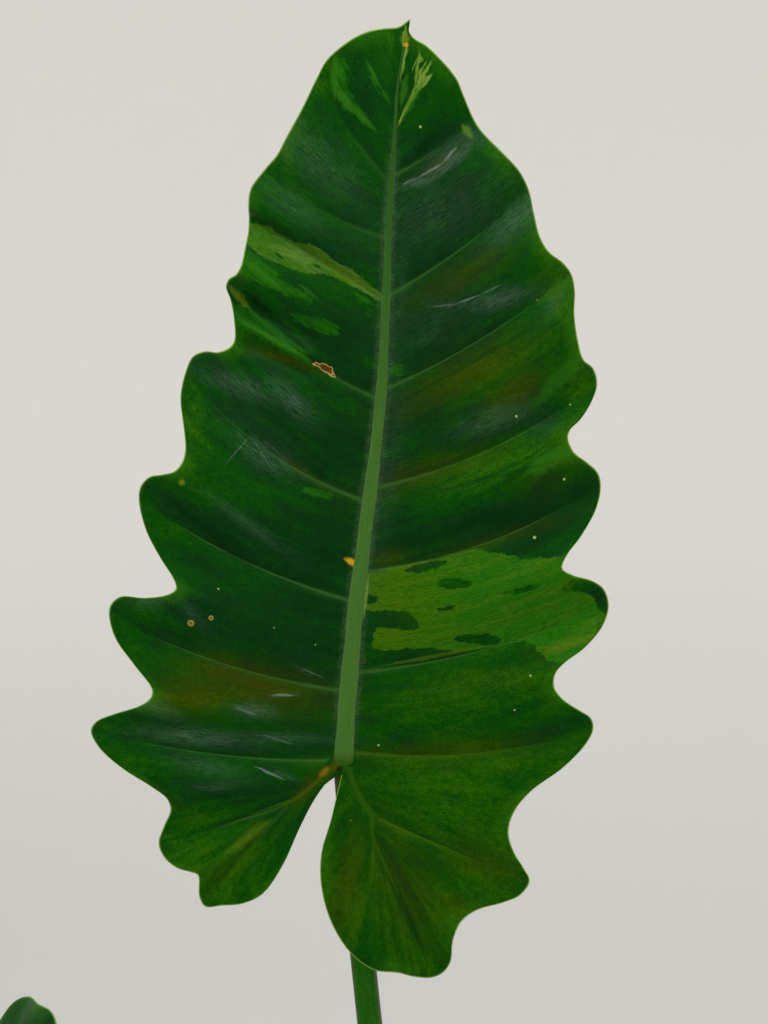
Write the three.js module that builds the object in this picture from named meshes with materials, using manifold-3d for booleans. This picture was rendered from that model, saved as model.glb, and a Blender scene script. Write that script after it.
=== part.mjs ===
// Potted philodendron: a plain clay pot, its soil, a short thick stem and six lobed leaves on long stalks.
// Lengths are millimetres and +Z is up. The origin is the middle of the pot's underside.
// The large leaf faces -Y and stands upright, and the others hang outward round the stem.

import * as THREE from 'three';
import { mergeVertices } from 'three/addons/utils/BufferGeometryUtils.js';
import Module from 'manifold-3d';

const wasm = await Module();
wasm.setup();

// Driving dimensions of the pot
const POT_HEIGHT = 180;
const POT_BASE_RADIUS = 68;
const POT_TOP_RADIUS = 97;
const RIM_RADIUS = 105;
const RIM_HEIGHT = 32;
const POT_WALL = 8;
const POT_FLOOR = 12;
const POT_EDGE = 2.5;
const POT_SEGMENTS = 40;
const DRAIN_HOLES = 4;
const DRAIN_RADIUS = 6;
const DRAIN_CIRCLE_RADIUS = 38;

// Driving dimensions of the soil and the stem
const FIT_GAP = 0.35;
const SOIL_LEVEL = 158;
const SOIL_HEAP = 4.2;
const SOIL_LUMP = 2.1;
const SOIL_RINGS = 6;
const SOIL_SEGMENTS = 32;
const STEM_RADIUS = 18;
const STEM_FOOT = 110;
const STEM_TOP = 262;
const STEM_TAPER = 0.16;
const STEM_NODE_SPACING = 17;
const STEM_NODE_SWELL = 1.6;
const STEM_NODE_RISE = 4;
const STEM_NODE_FALL = 2.5;
const STEM_CROWN_HEIGHT = 14;
const STEM_SEGMENTS = 18;

// Waves that make the soil's surface lumpy: radians per millimetre along x and y, start and share.
const SOIL_WAVES = [
  { alongX: 0.11, alongY: 0.13, start: 0.9, share: 0.5 },
  { alongX: 0.11, alongY: -0.13, start: 1.7, share: 0.5 },
  { alongX: 0.23, alongY: -0.19, start: 2.1, share: 0.6 },
];

// The stem's rounded top, as shares of its radius and depths below its top.
const STEM_CROWN = [[0.8, 9], [0.5, 2], [0, 0]];

// Driving dimensions shared by all the leaves
const BLADE_THICKNESS = 1;
const MIDRIB_LENGTH = 330;
const RIB_HALF_WIDTH = 4.6;
const RIB_DEPTH = 4.4;
const RIB_RISE = 0.9;
const RIB_SHOULDER = 0.3;
const MIDRIB_TIP_STOUTNESS = 0.1;
const BASAL_TIP_STOUTNESS = 0.35;
const MIDRIB_STEPS = 34;
const BASAL_STEPS = 4;
const ROW_CROWDING = 0.9;
const RELIEF = 10;
const RELIEF_FULL_LENGTH = 60;
const RELIEF_SINK = 0.45;
const RELIEF_ROUNDNESS = 0.75;
const RELIEF_GROWTH = 0.8;
const BASAL_FADE = 30;
const FOLD_SETTLES = 0.9;
const VEIN_SAG = 0.055;

// Driving dimensions of the stalks and of the new leaf
const STALK_RADIUS = 6;
const STALK_SMALLEST = 0.35;
const STALK_FOOT_SHARE = 1.04;
const STALK_TAPER = 0.24;
const STALK_SHEATH = 0.75;
const STALK_SHEATH_LENGTH = 32;
const STALK_ROOT = 0.55;
const STALK_LEAVES_STEM = 0.38;
const STALK_MEETS_BLADE = [0.5, 8, -6];
const SEAT_SIZE = 120;
const STALK_SIDES = 10;
const STALK_STEPS = 12;
const NEW_LEAF_RADIUS = 6.5;
const NEW_LEAF_TIP = 0.08;
const NEW_LEAF_FOOT = 0.34;
const NEW_LEAF_ROUNDNESS = 0.7;

// Course of the new leaf, from inside the stem's top to its own tip, with heights above the stem's top.
const NEW_LEAF_COURSE = [[-4, -3, -8], [-6, -5, 40], [-4, -16, 80], [-12, -26, 128]];

const GREEN = 0x1d5a1f;
const STALK_GREEN = 0x3f6b2c;
const STEM_BROWN = 0x5f6b3c;
const SOIL_BROWN = 0x3a2a1e;
const CLAY = 0xb5694a;

// Course of the midrib from the top of the stalk to the tip, with the blade seen from its upper face.
const MIDRIB = [
  [0, 0], [2, 30], [6, 74], [11.5, 118], [16.5, 162], [18.5, 198], [20.5, 247],
  [22.5, 276], [24, 300], [27.5, 320], [29.5, 330],
];

// The two ribs that leave the top of the stalk for the lobes beside it.
const BASAL_RIBS = {
  right: [[0, 0], [8, -13.5], [12.5, -20], [13, -30]],
  left: [[0, 0], [-8, -2.5], [-20.5, -13]],
};

// Side veins in order from the tip down. "leaves" is how far up the midrib a vein starts, or how far
// along the basal rib if negative. "margin" is the edge from the last vein's end to this one's own.
const SIDE_VEINS = {
  right: [
    {
      leaves: 260,
      margin: [[29, 325], [31, 321.5], [37, 317.5], [49.5, 304], [53, 296.5], [57.5, 286.5]],
    },
    { leaves: 207, margin: [[62, 280], [70.5, 271], [78.5, 262.5], [82, 254.5]] },
    { leaves: 166, margin: [[84, 244], [86.5, 233], [90.5, 226.5], [96.5, 222.5], [100.5, 218]] },
    {
      leaves: 123,
      margin: [[102, 210.5], [101.5, 199.5], [103, 187.5], [105.5, 179.5], [110, 176],
        [112, 169.5]],
    },
    {
      leaves: 86,
      margin: [[110, 162.5], [104.5, 153.5], [99.5, 148.5], [98.5, 145], [101, 139], [107, 134.5],
        [112, 130], [113.5, 124.5]],
    },
    {
      leaves: 42,
      margin: [[111.5, 114.5], [104.5, 102], [98, 93.5], [96, 88], [99.5, 84.5], [108.5, 82],
        [114.5, 79], [117, 72]],
    },
    {
      leaves: 8,
      margin: [[114.5, 63], [106, 53], [97, 46.5], [93, 42], [92.5, 36], [96.5, 30.5], [104, 25.5],
        [109, 22], [110, 17]],
    },
    {
      leaves: -23.6,
      margin: [[106.5, 10.5], [96.5, 0.5], [82.5, -9.5], [75, -18.5], [72.5, -27.5], [75, -36.5],
        [79.5, -44], [82, -49.5]],
    },
    {
      leaves: -33.6,
      margin: [[78.5, -56], [71, -59.5], [59.5, -62.5], [52.5, -67.5], [49, -75.5], [48, -84.5],
        [44.5, -90], [39, -92.5]],
    },
    { leaves: -33.6, margin: [[31.5, -91], [24, -89], [13.5, -88], [4, -81.5]] },
    {
      leaves: -67.2,
      margin: [[-5, -67.5], [-9.5, -51.5], [-9.5, -37], [-5.5, -23], [-2.5, -10.5], [0, 0]],
    },
  ],
  left: [
    {
      leaves: 256,
      margin: [[24.5, 326.5], [18, 325.5], [10, 323.5], [2.5, 319.5], [-7, 311.5], [-12.5, 303.5],
        [-18.5, 291.5], [-26.5, 277], [-29.5, 270]],
    },
    { leaves: 233, margin: [[-35, 263], [-40.5, 254]] },
    { leaves: 205, margin: [[-41.5, 246], [-41.5, 237.5]] },
    { leaves: 162, margin: [[-43, 228], [-44.5, 220.5], [-47, 216.5], [-50, 215], [-51.5, 212]] },
    {
      leaves: 117,
      margin: [[-49.5, 206], [-47.5, 196], [-47.5, 187.5], [-49.5, 184.5], [-54.5, 182.5],
        [-60.5, 183], [-66, 181], [-69.5, 174]],
    },
    {
      leaves: 73,
      margin: [[-71.5, 163], [-70, 150.5], [-69, 141], [-70, 135], [-73.5, 130.5], [-79, 129],
        [-85, 128], [-89, 124], [-90, 118.5]],
    },
    {
      leaves: 34,
      margin: [[-87, 105.5], [-80.5, 93], [-74, 83], [-73, 79], [-76.5, 76.5], [-87, 75],
        [-97.5, 75.5], [-102, 72], [-103, 67]],
    },
    {
      leaves: 4,
      margin: [[-100, 57], [-91.5, 45.5], [-83.5, 35], [-84, 31.5], [-88.5, 28], [-100.5, 24],
        [-108.5, 20.5], [-111, 16.5]],
    },
    {
      leaves: -24.8,
      margin: [[-108, 10], [-98, 1], [-85, -7], [-78, -13], [-76, -18], [-78.5, -25], [-81, -33]],
    },
    {
      leaves: -24.8,
      margin: [[-79, -39.5], [-73.5, -44], [-66.5, -45.5], [-63.5, -46.5], [-63, -56],
        [-60.5, -60.5]],
    },
    {
      leaves: -49.6,
      margin: [[-53, -60], [-44, -59], [-35, -54.5], [-26, -41.5], [-19.5, -27], [-12.5, -13.5],
        [-5, -3.5], [0, 0]],
    },
  ],
};

// The hanging leaves have these in common.
const HANGING = { faceFront: false, stalkHold: 0.38, detail: 0.5, rows: 3 };

// Each leaf: the foot of its stalk on the stem, the top of its stalk, the way its tip points there, and
// its form. "turn" is counted from +X about +Z and "pitch" from level, both in degrees. "stalkEnd" is the
// stalk's own direction where it meets the blade, as turn and pitch. "roll" swings the whole blade sideways
// about its face, "arch" is how far the midrib bends back, "twist" how far the blade turns about it, and
// "sway" how far the tip leans sideways. "detail" is how finely the margin is divided.
const LEAVES = [
  {
    name: 'leaf_1', foot: 250, footTurn: 60, footPitch: 84, stalkEnd: [222, 84.6], stalkHold: 0.5,
    top: [-18, -10, 630], turn: 90, pitch: 82, roll: 0, faceFront: true, mirrored: false,
    size: 1, width: 1, arch: 2, twist: 0, sway: 0,
    relief: 0.75, fold: 0.05, droop: 0.0002, uneven: 0, seed: 1, detail: 1, rows: 4,
  },
  {
    ...HANGING,
    name: 'leaf_2', foot: 236, footTurn: 245, footPitch: 64, stalkEnd: [225, 55],
    top: [-165, -96, 473], turn: 222, pitch: -60, roll: 0, mirrored: false,
    size: 0.86, width: 1, arch: 30, twist: 8, sway: 8,
    relief: 0.85, fold: 0.1, droop: 0.0007, uneven: 0.05, seed: 2, detail: 0.75,
  },
  {
    ...HANGING,
    name: 'leaf_3', foot: 222, footTurn: 325, footPitch: 60, stalkEnd: [330, 55],
    top: [196, -92, 420], turn: 322, pitch: -46, roll: 8, mirrored: true,
    size: 0.9, width: 0.96, arch: 36, twist: -10, sway: -12,
    relief: 1, fold: 0.1, droop: 0.0008, uneven: 0.06, seed: 3,
  },
  {
    ...HANGING,
    name: 'leaf_4', foot: 210, footTurn: 28, footPitch: 60, stalkEnd: [32, 50],
    top: [186, 118, 378], turn: 34, pitch: -36, roll: -10, mirrored: false,
    size: 0.8, width: 1.04, arch: 44, twist: 12, sway: 10,
    relief: 1, fold: 0.12, droop: 0.001, uneven: 0.06, seed: 4,
  },
  {
    ...HANGING,
    name: 'leaf_5', foot: 226, footTurn: 112, footPitch: 62, stalkEnd: [100, 52],
    top: [-40, 214, 392], turn: 103, pitch: -42, roll: 7, mirrored: true,
    size: 0.88, width: 0.98, arch: 36, twist: -8, sway: 12,
    relief: 0.9, fold: 0.1, droop: 0.0008, uneven: 0.06, seed: 5,
  },
  {
    ...HANGING,
    name: 'leaf_6', foot: 200, footTurn: 172, footPitch: 56, stalkEnd: [170, 46],
    top: [-214, 44, 346], turn: 170, pitch: -30, roll: -8, mirrored: true,
    size: 0.72, width: 1, arch: 46, twist: 10, sway: -10,
    relief: 1, fold: 0.12, droop: 0.001, uneven: 0.06, seed: 6,
  },
];

const clamp01 = (value) => Math.min(1, Math.max(0, value));

const smooth = (value) => {
  const t = clamp01(value);
  return t * t * (3 - 2 * t);
};

// Seeded random numbers, the same in every run.
function seededRandom(seed) {
  let state = seed;
  return () => {
    state = (state * 1664525 + 1013904223) % 4294967296;
    return state / 4294967296;
  };
}

function solidFrom(geometry) {
  const bare = geometry.clone();
  bare.deleteAttribute('normal');
  bare.deleteAttribute('uv');
  const merged = mergeVertices(bare, 1e-4);
  return new wasm.Manifold(new wasm.Mesh({
    numProp: 3,
    vertProperties: new Float32Array(merged.attributes.position.array),
    triVerts: new Uint32Array(merged.index.array),
  }));
}

function geometryFrom(solid) {
  const mesh = solid.getMesh();
  const geometry = new THREE.BufferGeometry();
  geometry.setAttribute('position', new THREE.BufferAttribute(new Float32Array(mesh.vertProperties), 3));
  geometry.setIndex(new THREE.BufferAttribute(new Uint32Array(mesh.triVerts), 1));
  return geometry;
}

// What is left of a solid when another is cut from it, without loose scraps.
function cutBack(solid, tool) {
  const bodies = solid.subtract(tool).decompose();
  bodies.sort((a, b) => b.volume() - a.volume());
  return bodies[0];
}

function finish(color, roughness) {
  return new THREE.MeshStandardMaterial({ color, roughness, metalness: 0 });
}

function named(name, geometry, material) {
  const mesh = new THREE.Mesh(geometry, material);
  mesh.name = name;
  return mesh;
}

// Turned shape about the Z axis from [radius, height] pairs that start and end on the axis.
function turned(profile, segments) {
  const geometry = new THREE.LatheGeometry(profile.map(([r, z]) => new THREE.Vector2(r, z)), segments);
  geometry.rotateX(Math.PI / 2);
  return geometry;
}

function uprightCylinder(radius, low, high, x = 0, y = 0) {
  const geometry = new THREE.CylinderGeometry(radius, radius, high - low, STEM_SEGMENTS);
  geometry.rotateX(Math.PI / 2);
  geometry.translate(x, y, (low + high) / 2);
  return geometry;
}

// Outer radius of the pot's wall below its rim, and the radius of its inside, at a height.
const wallRadiusAt = (z) => (
  POT_BASE_RADIUS + (POT_TOP_RADIUS - POT_BASE_RADIUS) * (z / (POT_HEIGHT - RIM_HEIGHT))
);
const insideRadiusAt = (z) => wallRadiusAt(Math.min(z, POT_HEIGHT - RIM_HEIGHT)) - POT_WALL;

function makePot() {
  const rimFoot = POT_HEIGHT - RIM_HEIGHT;
  const body = solidFrom(turned([
    [0, 0],
    [POT_BASE_RADIUS - POT_EDGE, 0],
    [POT_BASE_RADIUS, POT_EDGE],
    [wallRadiusAt(rimFoot), rimFoot],
    [RIM_RADIUS - POT_EDGE, rimFoot],
    [RIM_RADIUS, rimFoot + POT_EDGE],
    [RIM_RADIUS, POT_HEIGHT - POT_EDGE],
    [RIM_RADIUS - POT_EDGE, POT_HEIGHT],
    [insideRadiusAt(POT_HEIGHT) + POT_EDGE, POT_HEIGHT],
    [insideRadiusAt(POT_HEIGHT), POT_HEIGHT - POT_EDGE],
    [insideRadiusAt(rimFoot), rimFoot],
    [insideRadiusAt(POT_FLOOR), POT_FLOOR],
    [0, POT_FLOOR],
  ], POT_SEGMENTS));
  let pot = body;
  for (let i = 0; i < DRAIN_HOLES; i += 1) {
    const turn = (i + 0.5) * (2 * Math.PI / DRAIN_HOLES);
    const x = DRAIN_CIRCLE_RADIUS * Math.cos(turn);
    const y = DRAIN_CIRCLE_RADIUS * Math.sin(turn);
    pot = pot.subtract(solidFrom(uprightCylinder(DRAIN_RADIUS, -POT_EDGE, POT_FLOOR + POT_EDGE, x, y)));
  }
  return named('pot', geometryFrom(pot), finish(CLAY, 0.85));
}

// Height of the lumpy soil surface: low round the wall, a little heaped towards the stem.
function soilHeight(x, y) {
  const fromMiddle = Math.hypot(x, y) / insideRadiusAt(SOIL_LEVEL);
  let lumps = 0;
  for (const wave of SOIL_WAVES) {
    lumps += wave.share * Math.sin(wave.alongX * x + wave.alongY * y + wave.start);
  }
  return SOIL_LEVEL + SOIL_HEAP * (1 - fromMiddle ** 2) + SOIL_LUMP * lumps * (1 - fromMiddle ** 4);
}

function makeSoil() {
  const bottom = POT_FLOOR + FIT_GAP;
  const rimFoot = POT_HEIGHT - RIM_HEIGHT;
  const profile = [[0, bottom], [insideRadiusAt(POT_FLOOR) - 2 * FIT_GAP, bottom]];
  profile.push([insideRadiusAt(rimFoot) - 2 * FIT_GAP, rimFoot]);
  for (let ring = SOIL_RINGS; ring >= 0; ring -= 1) {
    profile.push([(insideRadiusAt(SOIL_LEVEL) - 2 * FIT_GAP) * (ring / SOIL_RINGS), SOIL_LEVEL]);
  }
  const geometry = turned(profile, SOIL_SEGMENTS);
  const places = geometry.attributes.position;
  for (let i = 0; i < places.count; i += 1) {
    if (places.getZ(i) > SOIL_LEVEL - 1) {
      places.setZ(i, soilHeight(places.getX(i), places.getY(i)));
    }
  }
  const hole = uprightCylinder(STEM_RADIUS + FIT_GAP, STEM_FOOT, STEM_TOP);
  const soil = solidFrom(geometry).subtract(solidFrom(hole));
  return named('soil', geometryFrom(soil), finish(SOIL_BROWN, 0.95));
}

// The stem's outline, swollen at each old leaf scar above the soil; "spare" is added all round it.
function stemGeometry(spare = 0) {
  const clearOfSoil = SOIL_LEVEL + SOIL_HEAP + 3 * SOIL_LUMP;
  const foot = STEM_FOOT + FIT_GAP;
  const profile = [[0, foot], [STEM_RADIUS + spare, foot], [STEM_RADIUS + spare, clearOfSoil]];
  const lastNode = STEM_TOP - STEM_CROWN_HEIGHT;
  for (let z = clearOfSoil + STEM_NODE_SPACING / 2; z < lastNode; z += STEM_NODE_SPACING) {
    const way = (z - clearOfSoil) / (STEM_TOP - clearOfSoil);
    const radius = STEM_RADIUS * (1 - STEM_TAPER * way) + spare;
    profile.push([radius, z - STEM_NODE_RISE]);
    profile.push([radius + STEM_NODE_SWELL, z]);
    profile.push([radius, z + STEM_NODE_FALL]);
  }
  for (const [share, depth] of STEM_CROWN) {
    profile.push([share > 0 ? STEM_RADIUS * share + spare : 0, STEM_TOP - depth + spare]);
  }
  return turned(profile, STEM_SEGMENTS);
}

// A round stalk swept along a curve, with its radius given along the way and closed at both ends.
function sweptStalk(curve, radiusAt, sides, steps) {
  const frames = curve.computeFrenetFrames(steps, false);
  const positions = [];
  const index = [];
  for (let i = 0; i <= steps; i += 1) {
    const centre = curve.getPointAt(i / steps);
    const radius = radiusAt(i / steps);
    for (let k = 0; k < sides; k += 1) {
      const turn = 2 * Math.PI * k / sides;
      const point = centre.clone()
        .addScaledVector(frames.normals[i], radius * Math.cos(turn))
        .addScaledVector(frames.binormals[i], radius * Math.sin(turn));
      positions.push(point.x, point.y, point.z);
    }
  }
  for (let i = 0; i < steps; i += 1) {
    for (let k = 0; k < sides; k += 1) {
      const here = i * sides + k;
      const next = i * sides + (k + 1) % sides;
      index.push(here, next, next + sides, here, next + sides, here + sides);
    }
  }
  const ends = [[0, 1], [steps, -1]];
  for (const [ring, way] of ends) {
    const centre = curve.getPointAt(ring / steps);
    const middle = positions.length / 3;
    positions.push(centre.x, centre.y, centre.z);
    for (let k = 0; k < sides; k += 1) {
      const here = ring * sides + k;
      const next = ring * sides + (k + 1) % sides;
      index.push(...(way > 0 ? [middle, next, here] : [middle, here, next]));
    }
  }
  const geometry = new THREE.BufferGeometry();
  geometry.setAttribute('position', new THREE.Float32BufferAttribute(positions, 3));
  geometry.setIndex(index);
  return geometry;
}

// A polyline's length up to each of its points.
function lengthsAlong(points) {
  const lengths = [0];
  for (let i = 1; i < points.length; i += 1) {
    const [fromX, fromY] = points[i - 1];
    const [toX, toY] = points[i];
    lengths.push(lengths[i - 1] + Math.hypot(toX - fromX, toY - fromY));
  }
  return lengths;
}

function pointAlong(points, distance) {
  const lengths = lengthsAlong(points);
  let i = 1;
  while (i < points.length - 1 && lengths[i] < distance) {
    i += 1;
  }
  const t = clamp01((distance - lengths[i - 1]) / (lengths[i] - lengths[i - 1]));
  return points[i - 1].map((value, axis) => value + (points[i][axis] - value) * t);
}

const midribCourse = new THREE.CatmullRomCurve3(MIDRIB.map(([x, y]) => new THREE.Vector3(x, y, 0)));
const basalReach = (side) => lengthsAlong(BASAL_RIBS[side]).at(-1);

// How far out along the basal rib a negative station is: the rib line runs out along it and back again.
function outAlongBasal(side, station) {
  const reach = basalReach(side);
  return Math.max(0, -station > reach ? 2 * reach + station : -station);
}

// Place on a half blade's rib line: up the midrib if positive, on the basal rib if negative.
function ribPoint(side, station) {
  if (station >= 0) {
    const point = midribCourse.getPointAt(clamp01(station / MIDRIB_LENGTH));
    return [point.x, point.y];
  }
  return pointAlong(BASAL_RIBS[side], outAlongBasal(side, station));
}

// How stout the rib is at a station, from 1 at the top of the stalk.
function ribStoutness(side, station) {
  if (station >= 0) {
    const left = 1 - station / MIDRIB_LENGTH;
    return MIDRIB_TIP_STOUTNESS + (1 - MIDRIB_TIP_STOUTNESS) * left ** ROW_CROWDING;
  }
  return 1 - (1 - BASAL_TIP_STOUTNESS) * outAlongBasal(side, station) / basalReach(side);
}

// 0 beside the basal ribs and 1 above the top of the stalk.
const aboveStalk = (station) => smooth((station + BASAL_FADE) / (2 * BASAL_FADE));

// Columns that run from a half blade's rib to its margin, from the tip down to the notch at the stalk.
// "between" is the way from one vein to the next, and the seeded stretch makes each leaf's lobes its own.
function bladeColumns(leaf, side) {
  const veins = SIDE_VEINS[side];
  const random = seededRandom(leaf.seed * 2 + (side === 'right' ? 0 : 1));
  const edge = [MIDRIB.at(-1), ...veins.flatMap((vein) => vein.margin)];
  const curve = new THREE.CatmullRomCurve3(
    edge.map(([x, y]) => new THREE.Vector3(x, y, 0)), false, 'centripetal',
  );
  const columns = [];
  let passed = 0;
  let lastStation = MIDRIB_LENGTH;
  let lastStretch = 1;
  for (const vein of veins) {
    const count = Math.max(2, Math.round(vein.margin.length * leaf.detail));
    const stretch = 1 + leaf.uneven * (2 * random() - 1);
    for (let k = passed === 0 ? 0 : 1; k <= count; k += 1) {
      const between = k / count;
      const point = curve.getPoint((passed + between * vein.margin.length) / (edge.length - 1));
      columns.push({
        between,
        station: lastStation + (vein.leaves - lastStation) * between,
        stretch: lastStretch + (stretch - lastStretch) * smooth(between),
        end: [point.x, point.y],
      });
    }
    passed += vein.margin.length;
    lastStation = vein.leaves;
    lastStretch = stretch;
  }
  return columns;
}

// Rise of the blade between its veins, fullest at the margin; "along" is 0 at the rib and 1 at the margin.
function reliefAt(station, between, along, length) {
  const pillow = Math.sin(Math.PI * between) ** RELIEF_ROUNDNESS;
  const share = (1 + aboveStalk(station)) / 2 * Math.min(1, length / RELIEF_FULL_LENGTH);
  return RELIEF * share * (pillow - RELIEF_SINK) * along ** RELIEF_GROWTH;
}

// Height of the middle of the blade before it is arched.
function bladeHeight(leaf, column, x, along, length) {
  const bulge = leaf.relief * reliefAt(column.station, column.between, along, length);
  const lift = leaf.fold * length * along * (1 - FOLD_SETTLES * along);
  return bulge + lift - leaf.droop * x * x;
}

// The midrib's arch, its sway and the blade's twist about it.
function arched(leaf, x, y, z) {
  const way = y / MIDRIB_LENGTH;
  const turn = THREE.MathUtils.degToRad(leaf.twist) * way;
  const across = leaf.width * (x * Math.cos(turn) - z * Math.sin(turn)) + leaf.sway * way * Math.abs(way);
  const out = x * Math.sin(turn) + z * Math.cos(turn);
  const radius = MIDRIB_LENGTH / THREE.MathUtils.degToRad(leaf.arch);
  const bend = y / radius;
  return [across, (radius + out) * Math.sin(bend), out * Math.cos(bend) - radius * (1 - Math.cos(bend))];
}

// Points of the blade's lattice, each with its place and the heights of its upper and under face.
class BladePoints {
  constructor(leaf) {
    this.leaf = leaf;
    this.list = [];
  }

  add(x, y, height, rib) {
    const half = BLADE_THICKNESS / 2;
    this.list.push({ x, y, top: height + half + RIB_RISE * rib, low: height - half - RIB_DEPTH * rib });
    return this.list.length - 1;
  }

  addOnRib(side, station) {
    const [x, y] = ribPoint(side, station);
    return this.add(x, y, -this.leaf.droop * x * x, ribStoutness(side, station));
  }

  gap(a, b) {
    return Math.hypot(this.list[a].x - this.list[b].x, this.list[a].y - this.list[b].y);
  }
}

// One column's points, from beside the rib to the margin.
function latticeColumn(leaf, side, column, points) {
  const start = ribPoint(side, column.station);
  const run = [column.stretch * (column.end[0] - start[0]), column.stretch * (column.end[1] - start[1])];
  const length = Math.hypot(...run);
  const stout = ribStoutness(side, column.station);
  const first = Math.min(RIB_HALF_WIDTH * stout, RIB_SHOULDER * length) / length;
  const sag = VEIN_SAG * aboveStalk(column.station) * (side === 'right' ? 1 : -1);
  const places = [];
  for (let row = 0; row <= leaf.rows; row += 1) {
    const along = first + (1 - first) * (row / leaf.rows) ** ROW_CROWDING;
    const bow = 4 * along * (1 - along) * sag;
    const x = start[0] + run[0] * along + run[1] * bow;
    const y = start[1] + run[1] * along - run[0] * bow;
    const rib = row === 0 ? RIB_SHOULDER * stout : 0;
    places.push(points.add(x, y, bladeHeight(leaf, column, x, along, length), rib));
  }
  return places;
}

// The blade as one closed body. Both faces are split into the same triangles.
function bladeGeometry(leaf) {
  const points = new BladePoints(leaf);
  const triangles = [];
  const midribSteps = Math.round(MIDRIB_STEPS * leaf.detail);
  const midrib = [];
  for (let i = 0; i <= midribSteps; i += 1) {
    const station = MIDRIB_LENGTH * (1 - i / midribSteps);
    midrib.push({ station, point: points.addOnRib('right', station) });
  }
  const tip = midrib[0].point;
  const notch = midrib.at(-1).point;

  for (const side of ['right', 'left']) {
    const place = (a, b, c) => {
      if (a !== b && b !== c && a !== c) {
        triangles.push(side === 'right' ? [a, b, c] : [a, c, b]);
      }
    };
    const reach = basalReach(side);
    const basal = [];
    for (let i = 1; i <= BASAL_STEPS; i += 1) {
      const station = -reach * i / BASAL_STEPS;
      basal.push({ station, point: points.addOnRib(side, station) });
    }
    const ribLine = [...midrib, ...basal];
    for (const { station, point } of basal.slice(0, -1).reverse()) {
      ribLine.push({ station: -2 * reach - station, point });
    }
    ribLine.push({ station: -2 * reach, point: notch });

    const columns = bladeColumns(leaf, side);
    const inner = columns.slice(1, -1).map((column) => latticeColumn(leaf, side, column, points));
    const closedAt = (point) => new Array(leaf.rows + 1).fill(point);
    const lattice = [closedAt(tip), ...inner, closedAt(notch)];
    for (let i = 0; i < lattice.length - 1; i += 1) {
      for (let row = 0; row < leaf.rows; row += 1) {
        const [a, d] = lattice[i].slice(row, row + 2);
        const [b, c] = lattice[i + 1].slice(row, row + 2);
        if (points.gap(a, c) <= points.gap(b, d)) {
          place(a, b, c);
          place(a, c, d);
        } else {
          place(a, b, d);
          place(b, c, d);
        }
      }
    }
    joinToRib(ribLine, columns, lattice, place);
  }
  return shellOf(leaf, points.list, triangles);
}

// Triangles between the rib's own points and the lattice's first row, whichever comes next down the blade.
function joinToRib(ribLine, columns, lattice, place) {
  let onRib = 0;
  let onLattice = 0;
  while (onRib < ribLine.length - 1 || onLattice < columns.length - 1) {
    const ribNext = onRib < ribLine.length - 1 ? ribLine[onRib + 1].station : -Infinity;
    const latticeNext = onLattice < columns.length - 1 ? columns[onLattice + 1].station : -Infinity;
    if (ribNext >= latticeNext) {
      place(ribLine[onRib].point, ribLine[onRib + 1].point, lattice[onLattice][0]);
      onRib += 1;
    } else {
      place(ribLine[onRib].point, lattice[onLattice + 1][0], lattice[onLattice][0]);
      onLattice += 1;
    }
  }
}

// Closes the two faces with a strip round every open edge, then arches and sizes the blade.
function shellOf(leaf, points, triangles) {
  const flip = leaf.mirrored ? -1 : 1;
  const positions = [];
  for (const face of ['top', 'low']) {
    for (const point of points) {
      const [x, y, z] = arched(leaf, point.x, point.y, point[face]);
      positions.push(flip * leaf.size * x, leaf.size * y, leaf.size * z);
    }
  }
  const low = points.length;
  const index = [];
  const open = new Map();
  for (const [a, b, c] of triangles) {
    index.push(a, b, c, low + a, low + c, low + b);
    for (const [from, to] of [[a, b], [b, c], [c, a]]) {
      if (!open.delete(`${to},${from}`)) {
        open.set(`${from},${to}`, [from, to]);
      }
    }
  }
  for (const [from, to] of open.values()) {
    index.push(from, low + from, low + to, from, low + to, to);
  }
  if (leaf.mirrored) {
    index.reverse();
  }
  const geometry = new THREE.BufferGeometry();
  geometry.setAttribute('position', new THREE.Float32BufferAttribute(positions, 3));
  geometry.setIndex(index);
  return geometry;
}

function direction(turn, pitch) {
  const flat = THREE.MathUtils.degToRad(turn);
  const rise = THREE.MathUtils.degToRad(pitch);
  const level = Math.cos(rise);
  return new THREE.Vector3(Math.cos(flat) * level, Math.sin(flat) * level, Math.sin(rise));
}

// Where a leaf's blade stands, with its upper face turned out from the stem or to the front.
function bladeMatrix(leaf) {
  const face = leaf.faceFront
    ? direction(leaf.turn + 180, 90 - leaf.pitch)
    : direction(leaf.turn, leaf.pitch + 90);
  const along = direction(leaf.turn, leaf.pitch).applyAxisAngle(face, THREE.MathUtils.degToRad(leaf.roll));
  const across = new THREE.Vector3().crossVectors(along, face);
  return new THREE.Matrix4().makeBasis(across, along, face).setPosition(...leaf.top);
}

function stalkCurve(leaf) {
  const matrix = bladeMatrix(leaf);
  const outward = direction(leaf.footTurn, 0);
  const foot = new THREE.Vector3(0, 0, leaf.foot).addScaledVector(outward, STEM_RADIUS * STALK_ROOT);
  const end = new THREE.Vector3(...STALK_MEETS_BLADE).multiplyScalar(leaf.size).applyMatrix4(matrix);
  const span = foot.distanceTo(end);
  const leaving = direction(leaf.footTurn, leaf.footPitch).multiplyScalar(span * STALK_LEAVES_STEM);
  const arriving = direction(...leaf.stalkEnd).multiplyScalar(-span * leaf.stalkHold);
  return new THREE.CubicBezierCurve3(foot, foot.clone().add(leaving), end.clone().add(arriving), end);
}

// The space the blade takes where its stalk meets it: everything above the underside of the midrib.
function seatOfBlade(leaf, matrix) {
  const under = BLADE_THICKNESS / 2 + RIB_DEPTH + FIT_GAP / leaf.size;
  const geometry = new THREE.BoxGeometry(SEAT_SIZE, SEAT_SIZE, SEAT_SIZE);
  geometry.translate(0, 0, SEAT_SIZE / 2 - under);
  geometry.scale(leaf.size, leaf.size, leaf.size);
  return geometry.applyMatrix4(matrix);
}

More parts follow.
